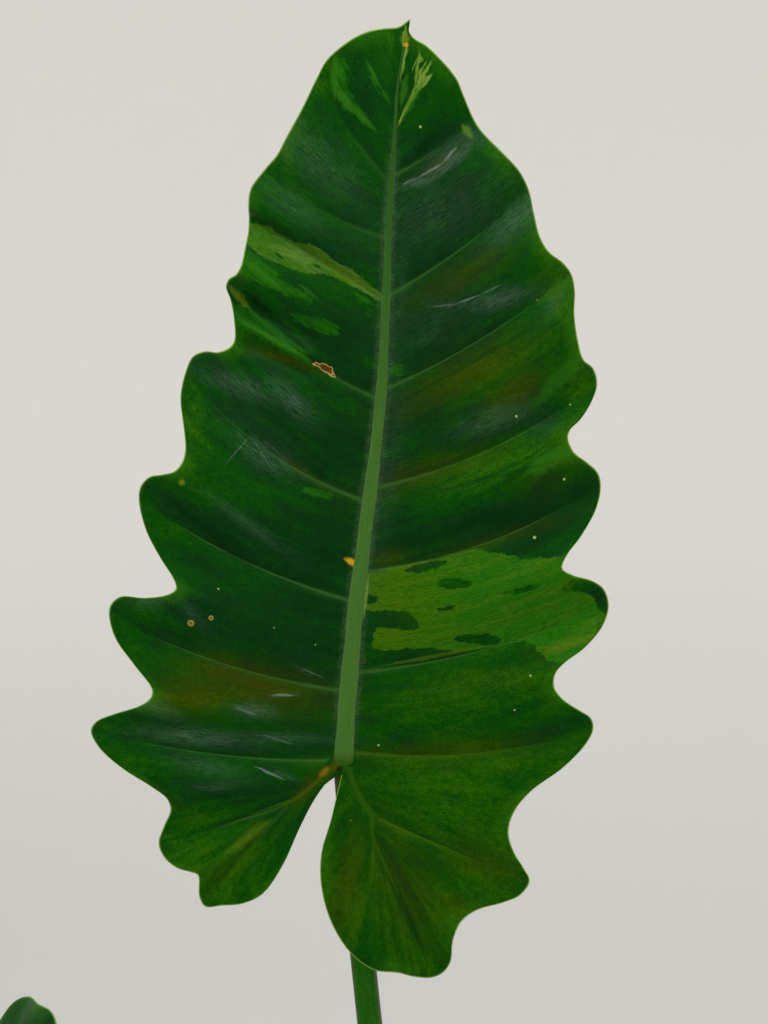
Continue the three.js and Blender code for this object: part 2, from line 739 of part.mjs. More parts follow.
function makeLeaf(leaf) {
  const group = new THREE.Group();
  const matrix = bladeMatrix(leaf);
  const blade = named(`${leaf.name}_blade`, bladeGeometry(leaf), finish(GREEN, 0.45));
  blade.applyMatrix4(matrix);

  const curve = stalkCurve(leaf);
  const length = curve.getLength();
  const stoutest = STALK_RADIUS * (STALK_SMALLEST + (1 - STALK_SMALLEST) * leaf.size);
  const radiusAt = (t) => {
    const sheath = STALK_SHEATH * Math.exp(-t * length / STALK_SHEATH_LENGTH);
    return stoutest * (STALK_FOOT_SHARE - STALK_TAPER * t + sheath);
  };
  const whole = solidFrom(sweptStalk(curve, radiusAt, STALK_SIDES, STALK_STEPS));
  const offStem = cutBack(whole, solidFrom(stemGeometry(FIT_GAP)));
  const stalk = cutBack(offStem, solidFrom(seatOfBlade(leaf, matrix)));
  group.add(blade, named(`${leaf.name}_stalk`, geometryFrom(stalk), finish(STALK_GREEN, 0.5)));
  return group;
}

// The next leaf, still rolled up, standing on the stem's top.
function makeNewLeaf() {
  const course = NEW_LEAF_COURSE.map(([x, y, above]) => new THREE.Vector3(x, y, STEM_TOP + above));
  const curve = new THREE.CubicBezierCurve3(...course);
  const radiusAt = (t) => {
    const bulge = Math.sin(Math.PI * (NEW_LEAF_FOOT + (1 - NEW_LEAF_FOOT) * t)) ** NEW_LEAF_ROUNDNESS;
    return NEW_LEAF_RADIUS * (NEW_LEAF_TIP + (1 - NEW_LEAF_TIP) * bulge);
  };
  const whole = solidFrom(sweptStalk(curve, radiusAt, STALK_SIDES, STALK_STEPS));
  const spear = cutBack(whole, solidFrom(stemGeometry(FIT_GAP)));
  return named('new_leaf', geometryFrom(spear), finish(STALK_GREEN, 0.4));
}

const makeStem = () => named('stem', stemGeometry(), finish(STEM_BROWN, 0.7));

const group = new THREE.Group();
group.add(makePot(), makeSoil(), makeStem(), makeNewLeaf());
for (const leaf of LEAVES) {
  group.add(makeLeaf(leaf));
}

export default group;
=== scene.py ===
# Looks of a potted philodendron, made round its fixed CAD frame.
# A leaf is worked out in millimetres on the flat plan of its blade, then set in place in metres.

import math

import bmesh
import bpy
import numpy as np
from mathutils import Matrix, Vector


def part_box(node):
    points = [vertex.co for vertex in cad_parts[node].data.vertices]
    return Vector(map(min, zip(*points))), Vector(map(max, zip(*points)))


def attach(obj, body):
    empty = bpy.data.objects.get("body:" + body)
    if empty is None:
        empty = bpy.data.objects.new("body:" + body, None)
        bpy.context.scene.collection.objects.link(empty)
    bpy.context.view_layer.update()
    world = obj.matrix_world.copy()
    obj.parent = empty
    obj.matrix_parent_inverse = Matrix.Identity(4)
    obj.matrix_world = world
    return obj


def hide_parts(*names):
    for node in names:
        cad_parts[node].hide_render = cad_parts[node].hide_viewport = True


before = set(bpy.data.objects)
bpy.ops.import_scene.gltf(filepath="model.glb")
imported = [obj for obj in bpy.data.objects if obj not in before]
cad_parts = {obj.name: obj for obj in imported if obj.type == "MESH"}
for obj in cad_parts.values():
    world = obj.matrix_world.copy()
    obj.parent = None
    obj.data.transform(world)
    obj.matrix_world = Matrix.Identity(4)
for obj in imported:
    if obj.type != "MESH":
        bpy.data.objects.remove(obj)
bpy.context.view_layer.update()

MM = 0.001

# Places closer than this are joined, in millimetres: in sheets and turned shapes, and in rolled skins
SAME_PLACE = 0.01
SAME_SEAM = 0.002

# Form shared by all the blades, close to that of the solids, in millimetres and shares of a whole
MIDRIB_LENGTH = 330
MIDRIB_STEPS = 24
MIDRIB_CROWDING = 1.2
MIDRIB_TIP_STOUTNESS = 0.1
BASAL_STEPS = 9
BASAL_FIRST = 0.01
BASAL_START = (0.8, 5)
BASAL_SLENDERNESS = 0.95
BASAL_THINNING = 0.85
BASAL_TIP_STOUTNESS = 0.35
BASAL_RAISED = 0.3
BASAL_FADE = 30
RIB_HALF_WIDTH = 4.6
RIB_DEPTH = 4.4
RIB_RISE = 1.1
RIB_PROUD = 1.2
RIB_ROUNDNESS = 0.7
RIB_STEPS_TO_FULL_WIDTH = 3
RIB_STEPS_TO_FULL_HEIGHT = 4
STOUTNESS_FALL = 0.9
RELIEF = 10
RELIEF_FULL_LENGTH = 60
RELIEF_SINK = 0.45
RELIEF_ROUNDNESS = 0.8
RELIEF_SETTLES = 0.7
RELIEF_GROWTH = 0.8
FOLD_SETTLES = 0.9
FOLD_ENDS = 4
SAMPLES_PER_POINT = 40

# Finer form of the blades, in millimetres
BLADE_THICK = 0.9
BLADE_THIN = 0.5
VEIN_GROOVE = 0.45
VEIN_GROOVE_WIDTH = 1.5
VEIN_FADE_FROM = 42
VEIN_FADE_TO = 14
VEIN_RIDGE = 1.3
VEIN_RIDGE_WIDTH = 1.3
LAY_PER_CELL = 40
COLUMN_CROWDING = 0.55
RIPPLE = 0.5
RIPPLE_GROWS_OVER = 30
RIPPLE_LENGTHS = (95, 70, 48, 36)
RIB_SIDES = 16
FAR_OUTSIDE = -40.0
FAR_AWAY = 30

# Stalks and new leaf, close to the solids, in millimetres and shares of a whole
STALK_SIDES = 28
STALK_RADIUS = 6
STALK_SMALLEST = 0.35
STALK_FOOT_SHARE = 1.04
STALK_TAPER = 0.13
STALK_SHEATH = 0.75
STALK_SHEATH_LENGTH = 32
STALK_ROOT = 0.55
STALK_LEAVES_STEM = 0.38
STALK_MEETS_BLADE = (0.5, 8, -3.5)
STALK_GROOVE = 0.13
STALK_GROOVE_WIDTH = 0.5
STALK_FLUTES = 9
STALK_FLUTE = 0.012
STALK_WAVE = 0.01
STALK_WAVE_LENGTH = 17
NEW_LEAF_SIDES = 40
NEW_LEAF_RADIUS = 6.5
NEW_LEAF_COURSE = ((-4, -3, -8), (-6, -5, 40), (-4, -16, 80), (-12, -26, 128))
NEW_LEAF_FOOT_IN_SWELL = 0.34
NEW_LEAF_FULLNESS = 0.7
NEW_LEAF_TIP = 0.04
NEW_LEAF_INNER = 0.94
NEW_LEAF_TURNS = 0.9
NEW_LEAF_STEP = 0.13
NEW_LEAF_STEP_AT = 0.93
ROD_STEPS = 90

# Stem, in millimetres. Each node is drawn by heights beside it, shares of its swelling and what is added,
# and each kind of flute by its depth, its number round the stem and its turn per millimetre up.
STEM_SIDES = 72
STEM_RADIUS = 18
STEM_TAPER = 0.16
STEM_NODE_SPACING = 17
STEM_NODE_SWELL = 1.6
STEM_NODE = ((-4, 0, 0), (-1.2, 0.7, 0), (0, 1, 0), (1.2, 0, 0.2), (2.5, 0, 0))
STEM_CROWN = ((0.8, 9), (0.68, 4.5), (0.5, 2), (0.25, 0.6), (0, 0))
STEM_CROWN_HEIGHT = 14
STEM_PLAIN_TOP = 12
STEM_WORN_EDGE = 1.2
STEM_FLUTES = ((0.012, 5, 1 / 9), (0.008, 13, 0))
STEM_RING_LEAN = 1.2
STEM_RING_TURN = 0.13
STEM_RING_WIDTH = 1.6
STEM_RINGS_WITH_BUDS = 3
STEM_BUDS_PER_RING = 3
STEM_BUD_RADIUS = 1.7
STEM_BUD_DROP = 5
STEM_BUD_PITCH = -18
STEM_BUD_STRETCH = 1.6
STEM_BUD_TONE = 0.7
STEM_SEED = 77

# Pot and soil, in millimetres, the first two from the solids
pot_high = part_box("pot")[1]
RIM_RADIUS = pot_high.x / MM
POT_HEIGHT = pot_high.z / MM
POT_SIDES = 128
POT_BASE_RADIUS = 68
POT_TOP_RADIUS = 97
RIM_HEIGHT = 32
RIM_FOOT = POT_HEIGHT - RIM_HEIGHT
RIM_FLARE = 0.6
POT_WALL = 8
POT_FLOOR = 12
POT_WORN_EDGE = 2.6
DRAIN_HOLES = 4
DRAIN_RADIUS = 6
DRAIN_CIRCLE_RADIUS = 38
SOIL_SIDES = 120
SOIL_LEVEL = 158
SOIL_HEAP = 4.2
SOIL_LUMP = 2.1
SOIL_WAVES = ((0.11, 0.13, 0.9, 0.5), (0.11, -0.13, 1.7, 0.5), (0.23, -0.19, 2.1, 0.6))
SOIL_GRAIN = 0.5
SOIL_SINK = 0.8
SOIL_RINGS = 40
SOIL_TONE = 0.1
GAP_TO_FLOOR = 0.35
GAP_TO_WALL = 0.7
GAP_AT_TOP = 0.6

# What lies in the potting mix: number, smallest and largest size, flatness, tone and seed
CRUMBS = [
    (1500, 1.2, 3.6, 0.8, 0.15, 3), (260, 4, 9, 0.35, 0.45, 5), (170, 1.6, 3.4, 0.9, 1, 8),
]
CRUMB_LEAN = 0.7
CRUMB_UNEVENNESS = 0.28
CRUMB_TONE_SPREAD = 0.12

# Floor, lights and camera, in metres and watts: a light's place, aim, size, power and colour
FLOOR_SIDES = 96
FLOOR_RADIUS = 6.5
FLOOR_RINGS = (0, 1.5, 3)
COVE_RADIUS = 2
COVE_STEPS = 12
WALL_HEIGHT = 4.5
LIGHTS = dict(
    key=((0.7, -1.5, 2.9), (0, 0, 0.7), 1.4, 26, (1, 0.98, 0.95)),
    fill=((-2, -1.6, 1.6), (0, 0, 0.7), 1.8, 10, (0.95, 0.98, 1)),
    back=((0.4, 2.2, 2.4), (0, 0, 0.6), 1.6, 16, (1, 1, 1)),
)
SKY_COLOUR = (1, 0.985, 0.96, 1)
SKY_STRENGTH = 0.85
CAMERA_TILT = math.radians(8)
CAMERA_DISTANCE = 1.06
CAMERA_TARGET = Vector((0, 0.0057, 0.7415))
CAMERA_LENS = 85
CAMERA_SENSOR_HEIGHT = 36

# Course of the midrib on the plan, from the top of the stalk to the tip
MIDRIB = [
    (0, 0), (2, 30), (6, 74), (11.5, 118), (16.5, 162), (18.5, 198), (20.5, 247),
    (22.5, 276), (24, 300), (27.5, 320), (29.5, 330),
]

# The two ribs that leave the top of the stalk for the lobes beside it
BASAL_RIBS = {
    "right": [(0, 0), (8, -13.5), (12.5, -20), (13, -30)],
    "left": [(0, 0), (-8, -2.5), (-20.5, -13)],
}

# Where the basal ribs run on, fading, along the veins that they turn into
BASAL_TAILS = {"right": [(16.5, -40), (22, -54)], "left": [(-31, -16.5), (-44, -21)]}

# Side veins from the tip down: how far up the midrib each starts, or how far along the basal rib if
# negative, how much it sags on its way out as a share of its length, how clearly it shows, and the margin
# from the last vein's end to its own.
SIDE_VEINS = {
    "right": [
        (260, 0.04, 1, [(29, 325), (31, 321.5), (37, 317.5), (49.5, 304), (53, 296.5), (57.5, 286.5)]),
        (207, 0.035, 0.9, [(61.7, 279.3), (70, 270.2), (77.9, 262), (82, 254.5)]),
        (166, 0.04, 0.9, [(84, 244), (86.5, 233), (90.5, 226.5), (96.5, 222.5), (100.5, 218)]),
        (123, 0.06, 0.9, [(102, 210.5), (101.5, 199.5), (103, 187.5), (105.5, 179.5), (110, 176),
                          (112, 169.5)]),
        (86, 0.06, 0.9, [(110, 162.5), (104.5, 153.5), (99.5, 148.5), (98.5, 145), (101, 139),
                         (107, 134.5), (112, 130), (113.5, 124.5)]),
        (42, 0.045, 0.9, [(111.5, 114.5), (104.5, 102), (98, 93.5), (96, 88), (100.6, 85), (109, 82.6),
                          (114.5, 79), (117, 72)]),
        (8, 0.055, 0.8, [(114.5, 63), (106, 53), (97, 46.5), (93, 42), (92.5, 36), (96.5, 30.5),
                         (104, 25.5), (109, 22), (110, 17)]),
        (-23.6, 0.01, 0.9, [(106.5, 10.5), (96.5, 0.5), (82.5, -9.5), (75, -18.5), (72.5, -27.5),
                            (75, -36.5), (79.5, -44), (82, -49.5)]),
        (-33.6, -0.01, 0.7, [(78, -55.4), (70.4, -58.6), (58.8, -61.7), (51.7, -66.8), (48.2, -75.2),
                             (47.2, -84.2), (44, -89.2), (38.8, -91.6)]),
        (-33.6, -0.05, 0.6, [(31.5, -91), (24, -89), (13.5, -88), (4, -81.5)]),
        (-67.2, 0, 0, [(-5, -67.5), (-9.5, -51.5), (-9.5, -37), (-5.5, -23), (-2.5, -10.5), (0, 0)]),
    ],
    "left": [
        (256, 0.02, 0.35, [(24.5, 326.5), (18, 325.5), (10, 323.5), (2.5, 319.5), (-7, 311.5),
                           (-12, 302.5)]),
        (233, 0.06, 0.3, [(-17.6, 290.4), (-25.2, 276.2), (-28.8, 269.4), (-34.7, 262.6)]),
        (205, 0, 0.8, [(-40.5, 254), (-41.5, 246), (-41.5, 242)]),
        (162, 0.06, 0.7, [(-41.7, 236), (-43, 228), (-44.5, 220.5), (-47, 216.5), (-50, 215),
                          (-51.5, 212)]),
        (117, 0.075, 0.9, [(-49.5, 206), (-47.5, 196), (-47.5, 187.5), (-49.5, 184.5), (-54.5, 182.5),
                           (-60.5, 183), (-66, 181), (-69.5, 174)]),
        (73, 0.045, 1, [(-71.5, 163), (-70, 150.5), (-69, 141), (-70, 135), (-73.5, 130.5), (-79, 129),
                        (-85, 128), (-89, 124), (-90, 118.5)]),
        (34, 0.045, 0.9, [(-87, 105.5), (-80.5, 93), (-74, 83), (-73, 79), (-76.5, 76.5), (-87, 75),
                          (-97.5, 75.5), (-102, 72), (-103, 67)]),
        (4, 0.035, 0.9, [(-100, 57), (-91.5, 45.5), (-83.5, 35), (-84, 31.5), (-88.5, 28), (-100.5, 24),
                         (-108.5, 20.5), (-111, 16.5)]),
        (-24.8, 0.02, 0.9, [(-107.6, 9.6), (-97, 0.4), (-84, -7.6), (-77, -13), (-75.6, -18),
                            (-78.5, -25), (-81, -33)]),
        (-24.8, -0.03, 0.7, [(-78.4, -39), (-72.6, -43.4), (-66.2, -45.2), (-63.5, -46.5), (-63, -56),
                             (-60.5, -60.5)]),
        (-49.6, 0, 0, [(-53, -60), (-44, -59), (-35, -54.5), (-26, -41.5), (-19.5, -27), (-12.5, -13.5),
                       (-5, -3.5), (0, 0)]),
    ],
}

# Where the leaves hang, as in the solids. "foot" is the height of the stalk's foot on the stem, "top" the
# place of the blade's notch, "turn" and "pitch" the way the tip points, and "fine" the number of columns
# of the skin for each point of the margin.
HANGING = dict(face_front=False, stalk_hold=0.38, fine=3.4, rows=26)
LEAVES = [
    dict(name="leaf_1", foot=250, foot_turn=60, foot_pitch=84, stalk_end=(222, 84.6), stalk_hold=0.5,
         top=(-18, -10, 630), turn=90, pitch=82, roll=0, face_front=True, mirrored=False,
         size=1, width=1, arch=2, twist=0, sway=0,
         relief=0.75, fold=0.05, droop=0.0002, uneven=0, seed=1, fine=6, rows=38),
    dict(HANGING, name="leaf_2", foot=236, foot_turn=245, foot_pitch=64, stalk_end=(225, 55),
         top=(-165, -96, 473), turn=222, pitch=-60, roll=0, mirrored=False,
         size=0.86, width=1, arch=30, twist=8, sway=8,
         relief=0.85, fold=0.1, droop=0.0007, uneven=0.05, seed=2),
    dict(HANGING, name="leaf_3", foot=222, foot_turn=325, foot_pitch=60, stalk_end=(330, 55),
         top=(196, -92, 420), turn=322, pitch=-46, roll=8, mirrored=True,
         size=0.9, width=0.96, arch=36, twist=-10, sway=-12,
         relief=1, fold=0.1, droop=0.0008, uneven=0.06, seed=3),
    dict(HANGING, name="leaf_4", foot=210, foot_turn=28, foot_pitch=60, stalk_end=(32, 50),
         top=(186, 118, 378), turn=34, pitch=-36, roll=-10, mirrored=False,
         size=0.8, width=1.04, arch=44, twist=12, sway=10,
         relief=1, fold=0.12, droop=0.001, uneven=0.06, seed=4),
    dict(HANGING, name="leaf_5", foot=226, foot_turn=112, foot_pitch=62, stalk_end=(100, 52),
         top=(-40, 214, 392), turn=103, pitch=-42, roll=7, mirrored=True,
         size=0.88, width=0.98, arch=36, twist=-8, sway=12,
         relief=0.9, fold=0.1, droop=0.0008, uneven=0.06, seed=5),
    dict(HANGING, name="leaf_6", foot=200, foot_turn=172, foot_pitch=56, stalk_end=(170, 46),
         top=(-214, 44, 346), turn=170, pitch=-30, roll=-8, mirrored=True,
         size=0.72, width=1, arch=46, twist=10, sway=-10,
         relief=1, fold=0.12, droop=0.001, uneven=0.06, seed=6),
]

# Variegated patches of the large leaf, as outlines on its plan, and the dark islands left inside them
PALE_PATCHES = [
    [(10, 85.6), (25, 88.4), (42.7, 92.4), (59, 96.6), (65, 95), (71, 94), (76, 93.3), (78, 91.7),
     (83.6, 92.4), (89, 92.8), (98, 93.3), (102, 86), (113, 82.7), (119, 74), (117.5, 65), (108.7, 54),
     (98, 46.2), (93.8, 46.4), (89, 47.4), (88.7, 50), (85, 51.5), (84, 54), (80, 56.5), (69, 54),
     (57.6, 51.7), (46.6, 51.5), (38.7, 53), (27.6, 52.5), (18.5, 51.8), (12, 53.8), (13, 60), (9, 74)],
    [(-43.6, 240.7), (-37, 239.4), (-32, 238), (-26.8, 234), (-21.8, 231.4), (-13.7, 229.8),
     (-8.6, 227.3), (-4.6, 223.3), (2, 220.3), (10, 214.2), (17.6, 207.7), (18, 204.2), (8, 209.7),
     (3, 212.2), (-2.6, 215.2), (-8.6, 217.2), (-14.7, 216.7), (-20.8, 218.2), (-30, 222.2),
     (-36, 224.8), (-40.5, 228.3), (-44, 230.8)],
    [(23.2, 282), (26.2, 289.4), (30.8, 297.5), (32.8, 304.6), (32.8, 312.7), (33.8, 316.2),
     (35.3, 311.7), (35.3, 305.6), (36, 302.6), (36.8, 307.6), (38.4, 311.5), (39.6, 307.6),
     (38.9, 303.6), (35.8, 299), (32.3, 296.5), (28.8, 292), (25.2, 283.4)],
    [(24.2, 304), (25.2, 309.6), (25.8, 315.7), (25.4, 322.8), (27.8, 327.8), (28.8, 322.8),
     (28.8, 315.7), (27.4, 309), (25.4, 304)],
]
LUSH_PATCHES = [
    [(-43.6, 227), (-36, 223.8), (-29, 218.2), (-28, 215.2), (-20.8, 211.2), (-11.7, 206),
     (-13.7, 203.5), (-19.8, 205.6), (-26.8, 207.6), (-30.8, 210), (-37, 211.6), (-46.2, 217.8)],
    [(-49.7, 206), (-41, 202), (-31.2, 196.2), (-22.4, 189.2), (-16.3, 183), (-12.8, 177.3),
     (-15, 176.4), (-22.4, 180), (-32, 185.7), (-41, 191), (-48, 194.5)],
    [(-3.6, 312.7), (1, 311.7), (3, 307.6), (1, 301.6), (4, 295.5), (8, 290.4), (11.6, 283.4),
     (9, 282.4), (4, 288.4), (-1, 294.5), (-4.6, 297.5), (-4, 305.6)],
    [(11.6, 309.6), (14.6, 304.6), (17, 298.5), (21.4, 294.5), (19.2, 293.5), (14.6, 297.5),
     (11.6, 303.6)],
    [(-29, -21.5), (-34.6, -23), (-43.2, -28.7), (-49, -33.7), (-57.5, -39), (-54.6, -40.4),
     (-47, -35.4), (-39.4, -30), (-31.3, -25)],
    [(-19.8, 123.6), (-11, 123.2), (-3, 120), (-4.4, 117.5), (-14.5, 119.2)],
    [(5.3, 27.3), (10, 29.5), (10.6, 26.8), (5.3, 25.7)],
    [(-27.3, 200.6), (-22, 200), (-14, 198.5), (-7, 197), (0, 193.5), (-2.6, 189.5), (-9, 190.5),
     (-15, 193), (-22, 197)],
    [(9.5, 201), (12.5, 201.2), (13, 198.2), (10, 197.6)],
    [(4, 209.5), (8, 208.5), (15, 204.5), (17, 203), (13, 202.6), (8, 205), (4.5, 207)],
    [(19.8, 178.6), (26.8, 177), (26, 172.5), (19.8, 171.6)],
]
DARK_ISLANDS = [
    [(27, 86.5), (31.6, 90), (39.7, 91.4), (46.3, 91), (41.7, 88.3), (33.7, 85.8)],
    [(40, 81), (44.8, 83.3), (50.8, 83.5), (57.7, 82), (55, 79.8), (46.8, 79)],
    [(68.8, 76.6), (75, 78.7), (82, 80.8), (88, 81.3), (85.2, 79.3), (78, 77.2)],
    [(10.2, 76), (12.5, 77.4), (15.2, 75.2), (14, 72.8), (10.7, 73.2)],
    [(41.3, 70.6), (49.6, 71.8), (47.8, 69.7), (42.2, 69)],
    [(9, 69), (19.5, 69.2), (26.6, 69), (30.3, 67.6), (33.5, 63), (32.2, 60.7), (24.6, 61.3), (15, 62),
     (13.5, 60.3), (13.5, 56), (9, 54)],
    [(47.8, 57), (50.8, 58.6), (57, 59), (64, 59.4), (69.2, 57), (67, 54.4), (60, 54.5), (55, 55.2)],
    [(94.3, 76.7), (99.3, 78.2), (105, 77.6), (110.4, 75.2), (113, 69), (118, 67), (118, 75.2),
     (113.4, 81.3), (106.4, 82.8), (99.3, 83.3)],
]

# Soft marks of the large leaf: middle on the plan, half length, half width, turn in degrees and strength.
# Bloom is a painted sheen: whitish reflection of the light off the blade's relief, broken by scratches.
# Olive is a brownish tinge. Warm is a yellower green, and painted light where it lies on lit lobes.
# Cool is a deeper, bluer green, and painted shade where it lies along fold valleys and above veins.
SOFT_MARKS = {
    "bloom": [
        (47, 266, 14, 2, 37, 1), (34, 258, 9, 1.8, 15, 0.9), (51, 273, 15, 5, 33, 0.5),
        (69, 206, 14, 4, 17, 0.75), (50, 203.5, 8, 0.9, 8, 0.7), (38, 190, 9, 2.5, 35, 0.3),
        (24.5, 200, 3, 50, -4, 0.2), (78, 243, 17, 6, 40, 0.7), (84, 250, 9, 5, 45, 0.6),
        (66, 153, 16, 5, 18, 0.5), (92, 205, 9, 4, 60, 0.3),
        (-12, 267, 26, 10, -42, 0.35), (-22, 247, 15, 6, -35, 0.35),
        (-45, 168, 18, 5, -20, 0.55), (-23, 162, 12, 4.5, -45, 0.65), (-34, 138, 13, 5.5, -30, 0.6),
        (-41, 107, 22, 2.6, -36, 0.35), (-85, 74, 7, 4, 0, 0.4), (-66, 68, 8, 2.5, -50, 0.35),
        (-64, 14, 24, 3.4, -5, 0.7), (-30, 14, 22, 2.2, -2, 0.45), (-39, 26, 8, 3, -8, 0.7),
        (-82, 27, 12, 3, -25, 0.45), (-57, -8, 9, 1.4, 0, 0.4), (-60, 1, 16, 4, -12, 0.35),
        (-26, 32.5, 5, 0.6, 2, 0.9), (-26, -2.5, 5.5, 0.8, -24, 0.9), (-17, 43, 5, 0.6, -35, 0.5),
        (-52, -6, 15, 2, 5, 0.2), (20, 130, 5, 40, -8, 0.2), (88, 150, 8, 4, 20, 0.2),
        (44, 245, 34, 14, 22, 0.26), (42, 197, 28, 11, 20, 0.15), (-42, 149, 22, 9, -30, 0.13),
    ],
    "olive": [
        (-38, 36, 30, 9, -10, 1), (-66, 33, 18, 8, 0, 1), (-52, 42, 16, 7, -15, 1),
        (56, 174, 30, 8, 28, 0.8), (76, 166, 16, 8, 40, 0.7), (52, 216, 24, 6, 30, 0.5),
        (36, 130, 28, 6, 18, 0.6), (43, 266, 10, 2.6, 33, 0.8), (66, 100, 34, 3, 18, 0.4),
        (60, 38, 45, 5, 8, 0.15),
        (48, 8, 40, 5, 4, 0.5), (28, -52, 30, 14, -70, 0.45), (62, -42, 20, 8, -20, 0.5),
        (2, -50, 24, 7, 80, 0.7),
        (-27, 180, 16, 2.2, -18, 0.9), (-16, 129, 14, 1.5, -35, 0.7), (95, 55, 12, 6, 25, 0.6),
        (-50, -42, 20, 6, 40, 0.3), (-15.4, -8.4, 11, 2.8, 50, 0.9), (90, 128, 14, 6, 20, 0.3),
        (20, 92, 8, 4, 15, 0.6),
        (36, 68, 14, 5, 5, 0.3), (54, -62, 16, 5, -25, 0.6), (24, -30, 14, 3, -60, 0.4),
    ],
    # Warm marks: a yellower green, and painted light where they lie on lit lobes, such as the one at (98,
    # 142).
    "warm": [
        (47, -14, 66, 48, 0, 0.7), (56, 30, 53, 18, 8, 0.7), (25, -54, 40, 31, -30, 0.75),
        (95.5, 215, 26, 9, 100, 0.8), (69, 173, 35, 10, 27, 0.6), (102, 168, 18, 10, 90, 0.9),
        (69, 133, 40, 9, 18, 0.8), (98, 142, 13, 9, 90, 1), (-66, 135, 31, 7, 95, 0.35),
        (-67, 30, 20, 7, 0, 0.8), (-89, 74, 13, 7, 0, 0.25), (-54, -40, 26, 20, 35, 0.75),
        (-56, -20, 26, 7, 15, 0.6), (-12, 298, 24, 5, 62, 0.45), (-23, 263, 26, 18, -40, 0.35),
        (72, 262, 22, 5, -48, 0.3), (46, 303, 18, 5, -55, 0.3), (93, 82, 14, 7, 15, 0.9),
        (-6, -45, 30, 8, 80, 0.6), (-96, 20, 16, 8, 0, 0.2), (20, 308, 20, 6, 80, 0.4),
        (80, 0, 20, 10, 40, 0.6), (68, -30, 18, 9, 90, 0.7), (-40, 118, 22, 8, -25, 0.2),
        (-76, 165, 12, 8, 90, 0.5), (101, 180, 9, 6, 90, 0.5),
    ],
    # Cool marks are a deeper, bluer green; the narrow ones along fold valleys and above veins are painted
    # shade.
    "cool_and_shaded": [
        (38, 193, 79, 20, 80, 0.45), (-14, 91, 90, 26, 84, 0.5), (-41, 74, 35, 16, 0, 0.5),
        (87, 105, 20, 10, 25, 0.9), (106, 122, 11, 9, 60, 0.8), (111, 74, 9, 6, 0, 0.8),
        (95, 20, 18, 5, 15, 0.6), (51, 106, 40, 5, 16, 0.8), (-56, 102, 28, 5, -38, 1),
        (42, 274, 20, 7, 42, 0.8), (-36, 196, 18, 3.5, -35, 1), (-34, 177, 16, 2.5, -20, 0.7),
        (-1, 188, 12, 14, 0, 0.6), (26, -49, 22, 3, -62, 0.8), (-56, -11, 28, 4, 0, 0.6),
        (-41, 9, 25, 4, 0, 0.5), (-30, -15, 20, 3, 25, 0.5), (30, 12, 12, 5, 0, 0.4),
        (-10, 225, 14, 20, -60, 0.4), (98, 158, 16, 4, 25, 0.7), (36, -40, 18, 5, -25, 0.5),
        (8, -22, 5, 10, 10, 0.3), (12, 294, 9, 8, 0, 0.45), (52, -72, 10, 6, 60, 0.4),
        (30, -66, 14, 3, -66, 0.6),
    ],
}

# What the other blades get at random: patches by number, and soft marks by number, size and strength
RANDOM_PATCHES = dict(pale=3, lush=5)
RANDOM_MARKS = dict(bloom=(9, 1, 0.6), olive=(8, 1, 0.9), warm=(9, 1.8, 0.8), cool_and_shaded=(8, 1.8, 0.8))

# Start and width of what is drawn for them: a patch's cell, reach, half length and half width, and a
# mark's two places on the plan, half length, half width, turn in degrees and share of the strength
PATCH_RANGES = ((0.6, 8), (20, 70), (14, 34), (3, 9))
MARK_RANGES = ((12, 85), (-60, 340), (10, 18), (2.5, 5), (15, 30), (0.4, 0.6))

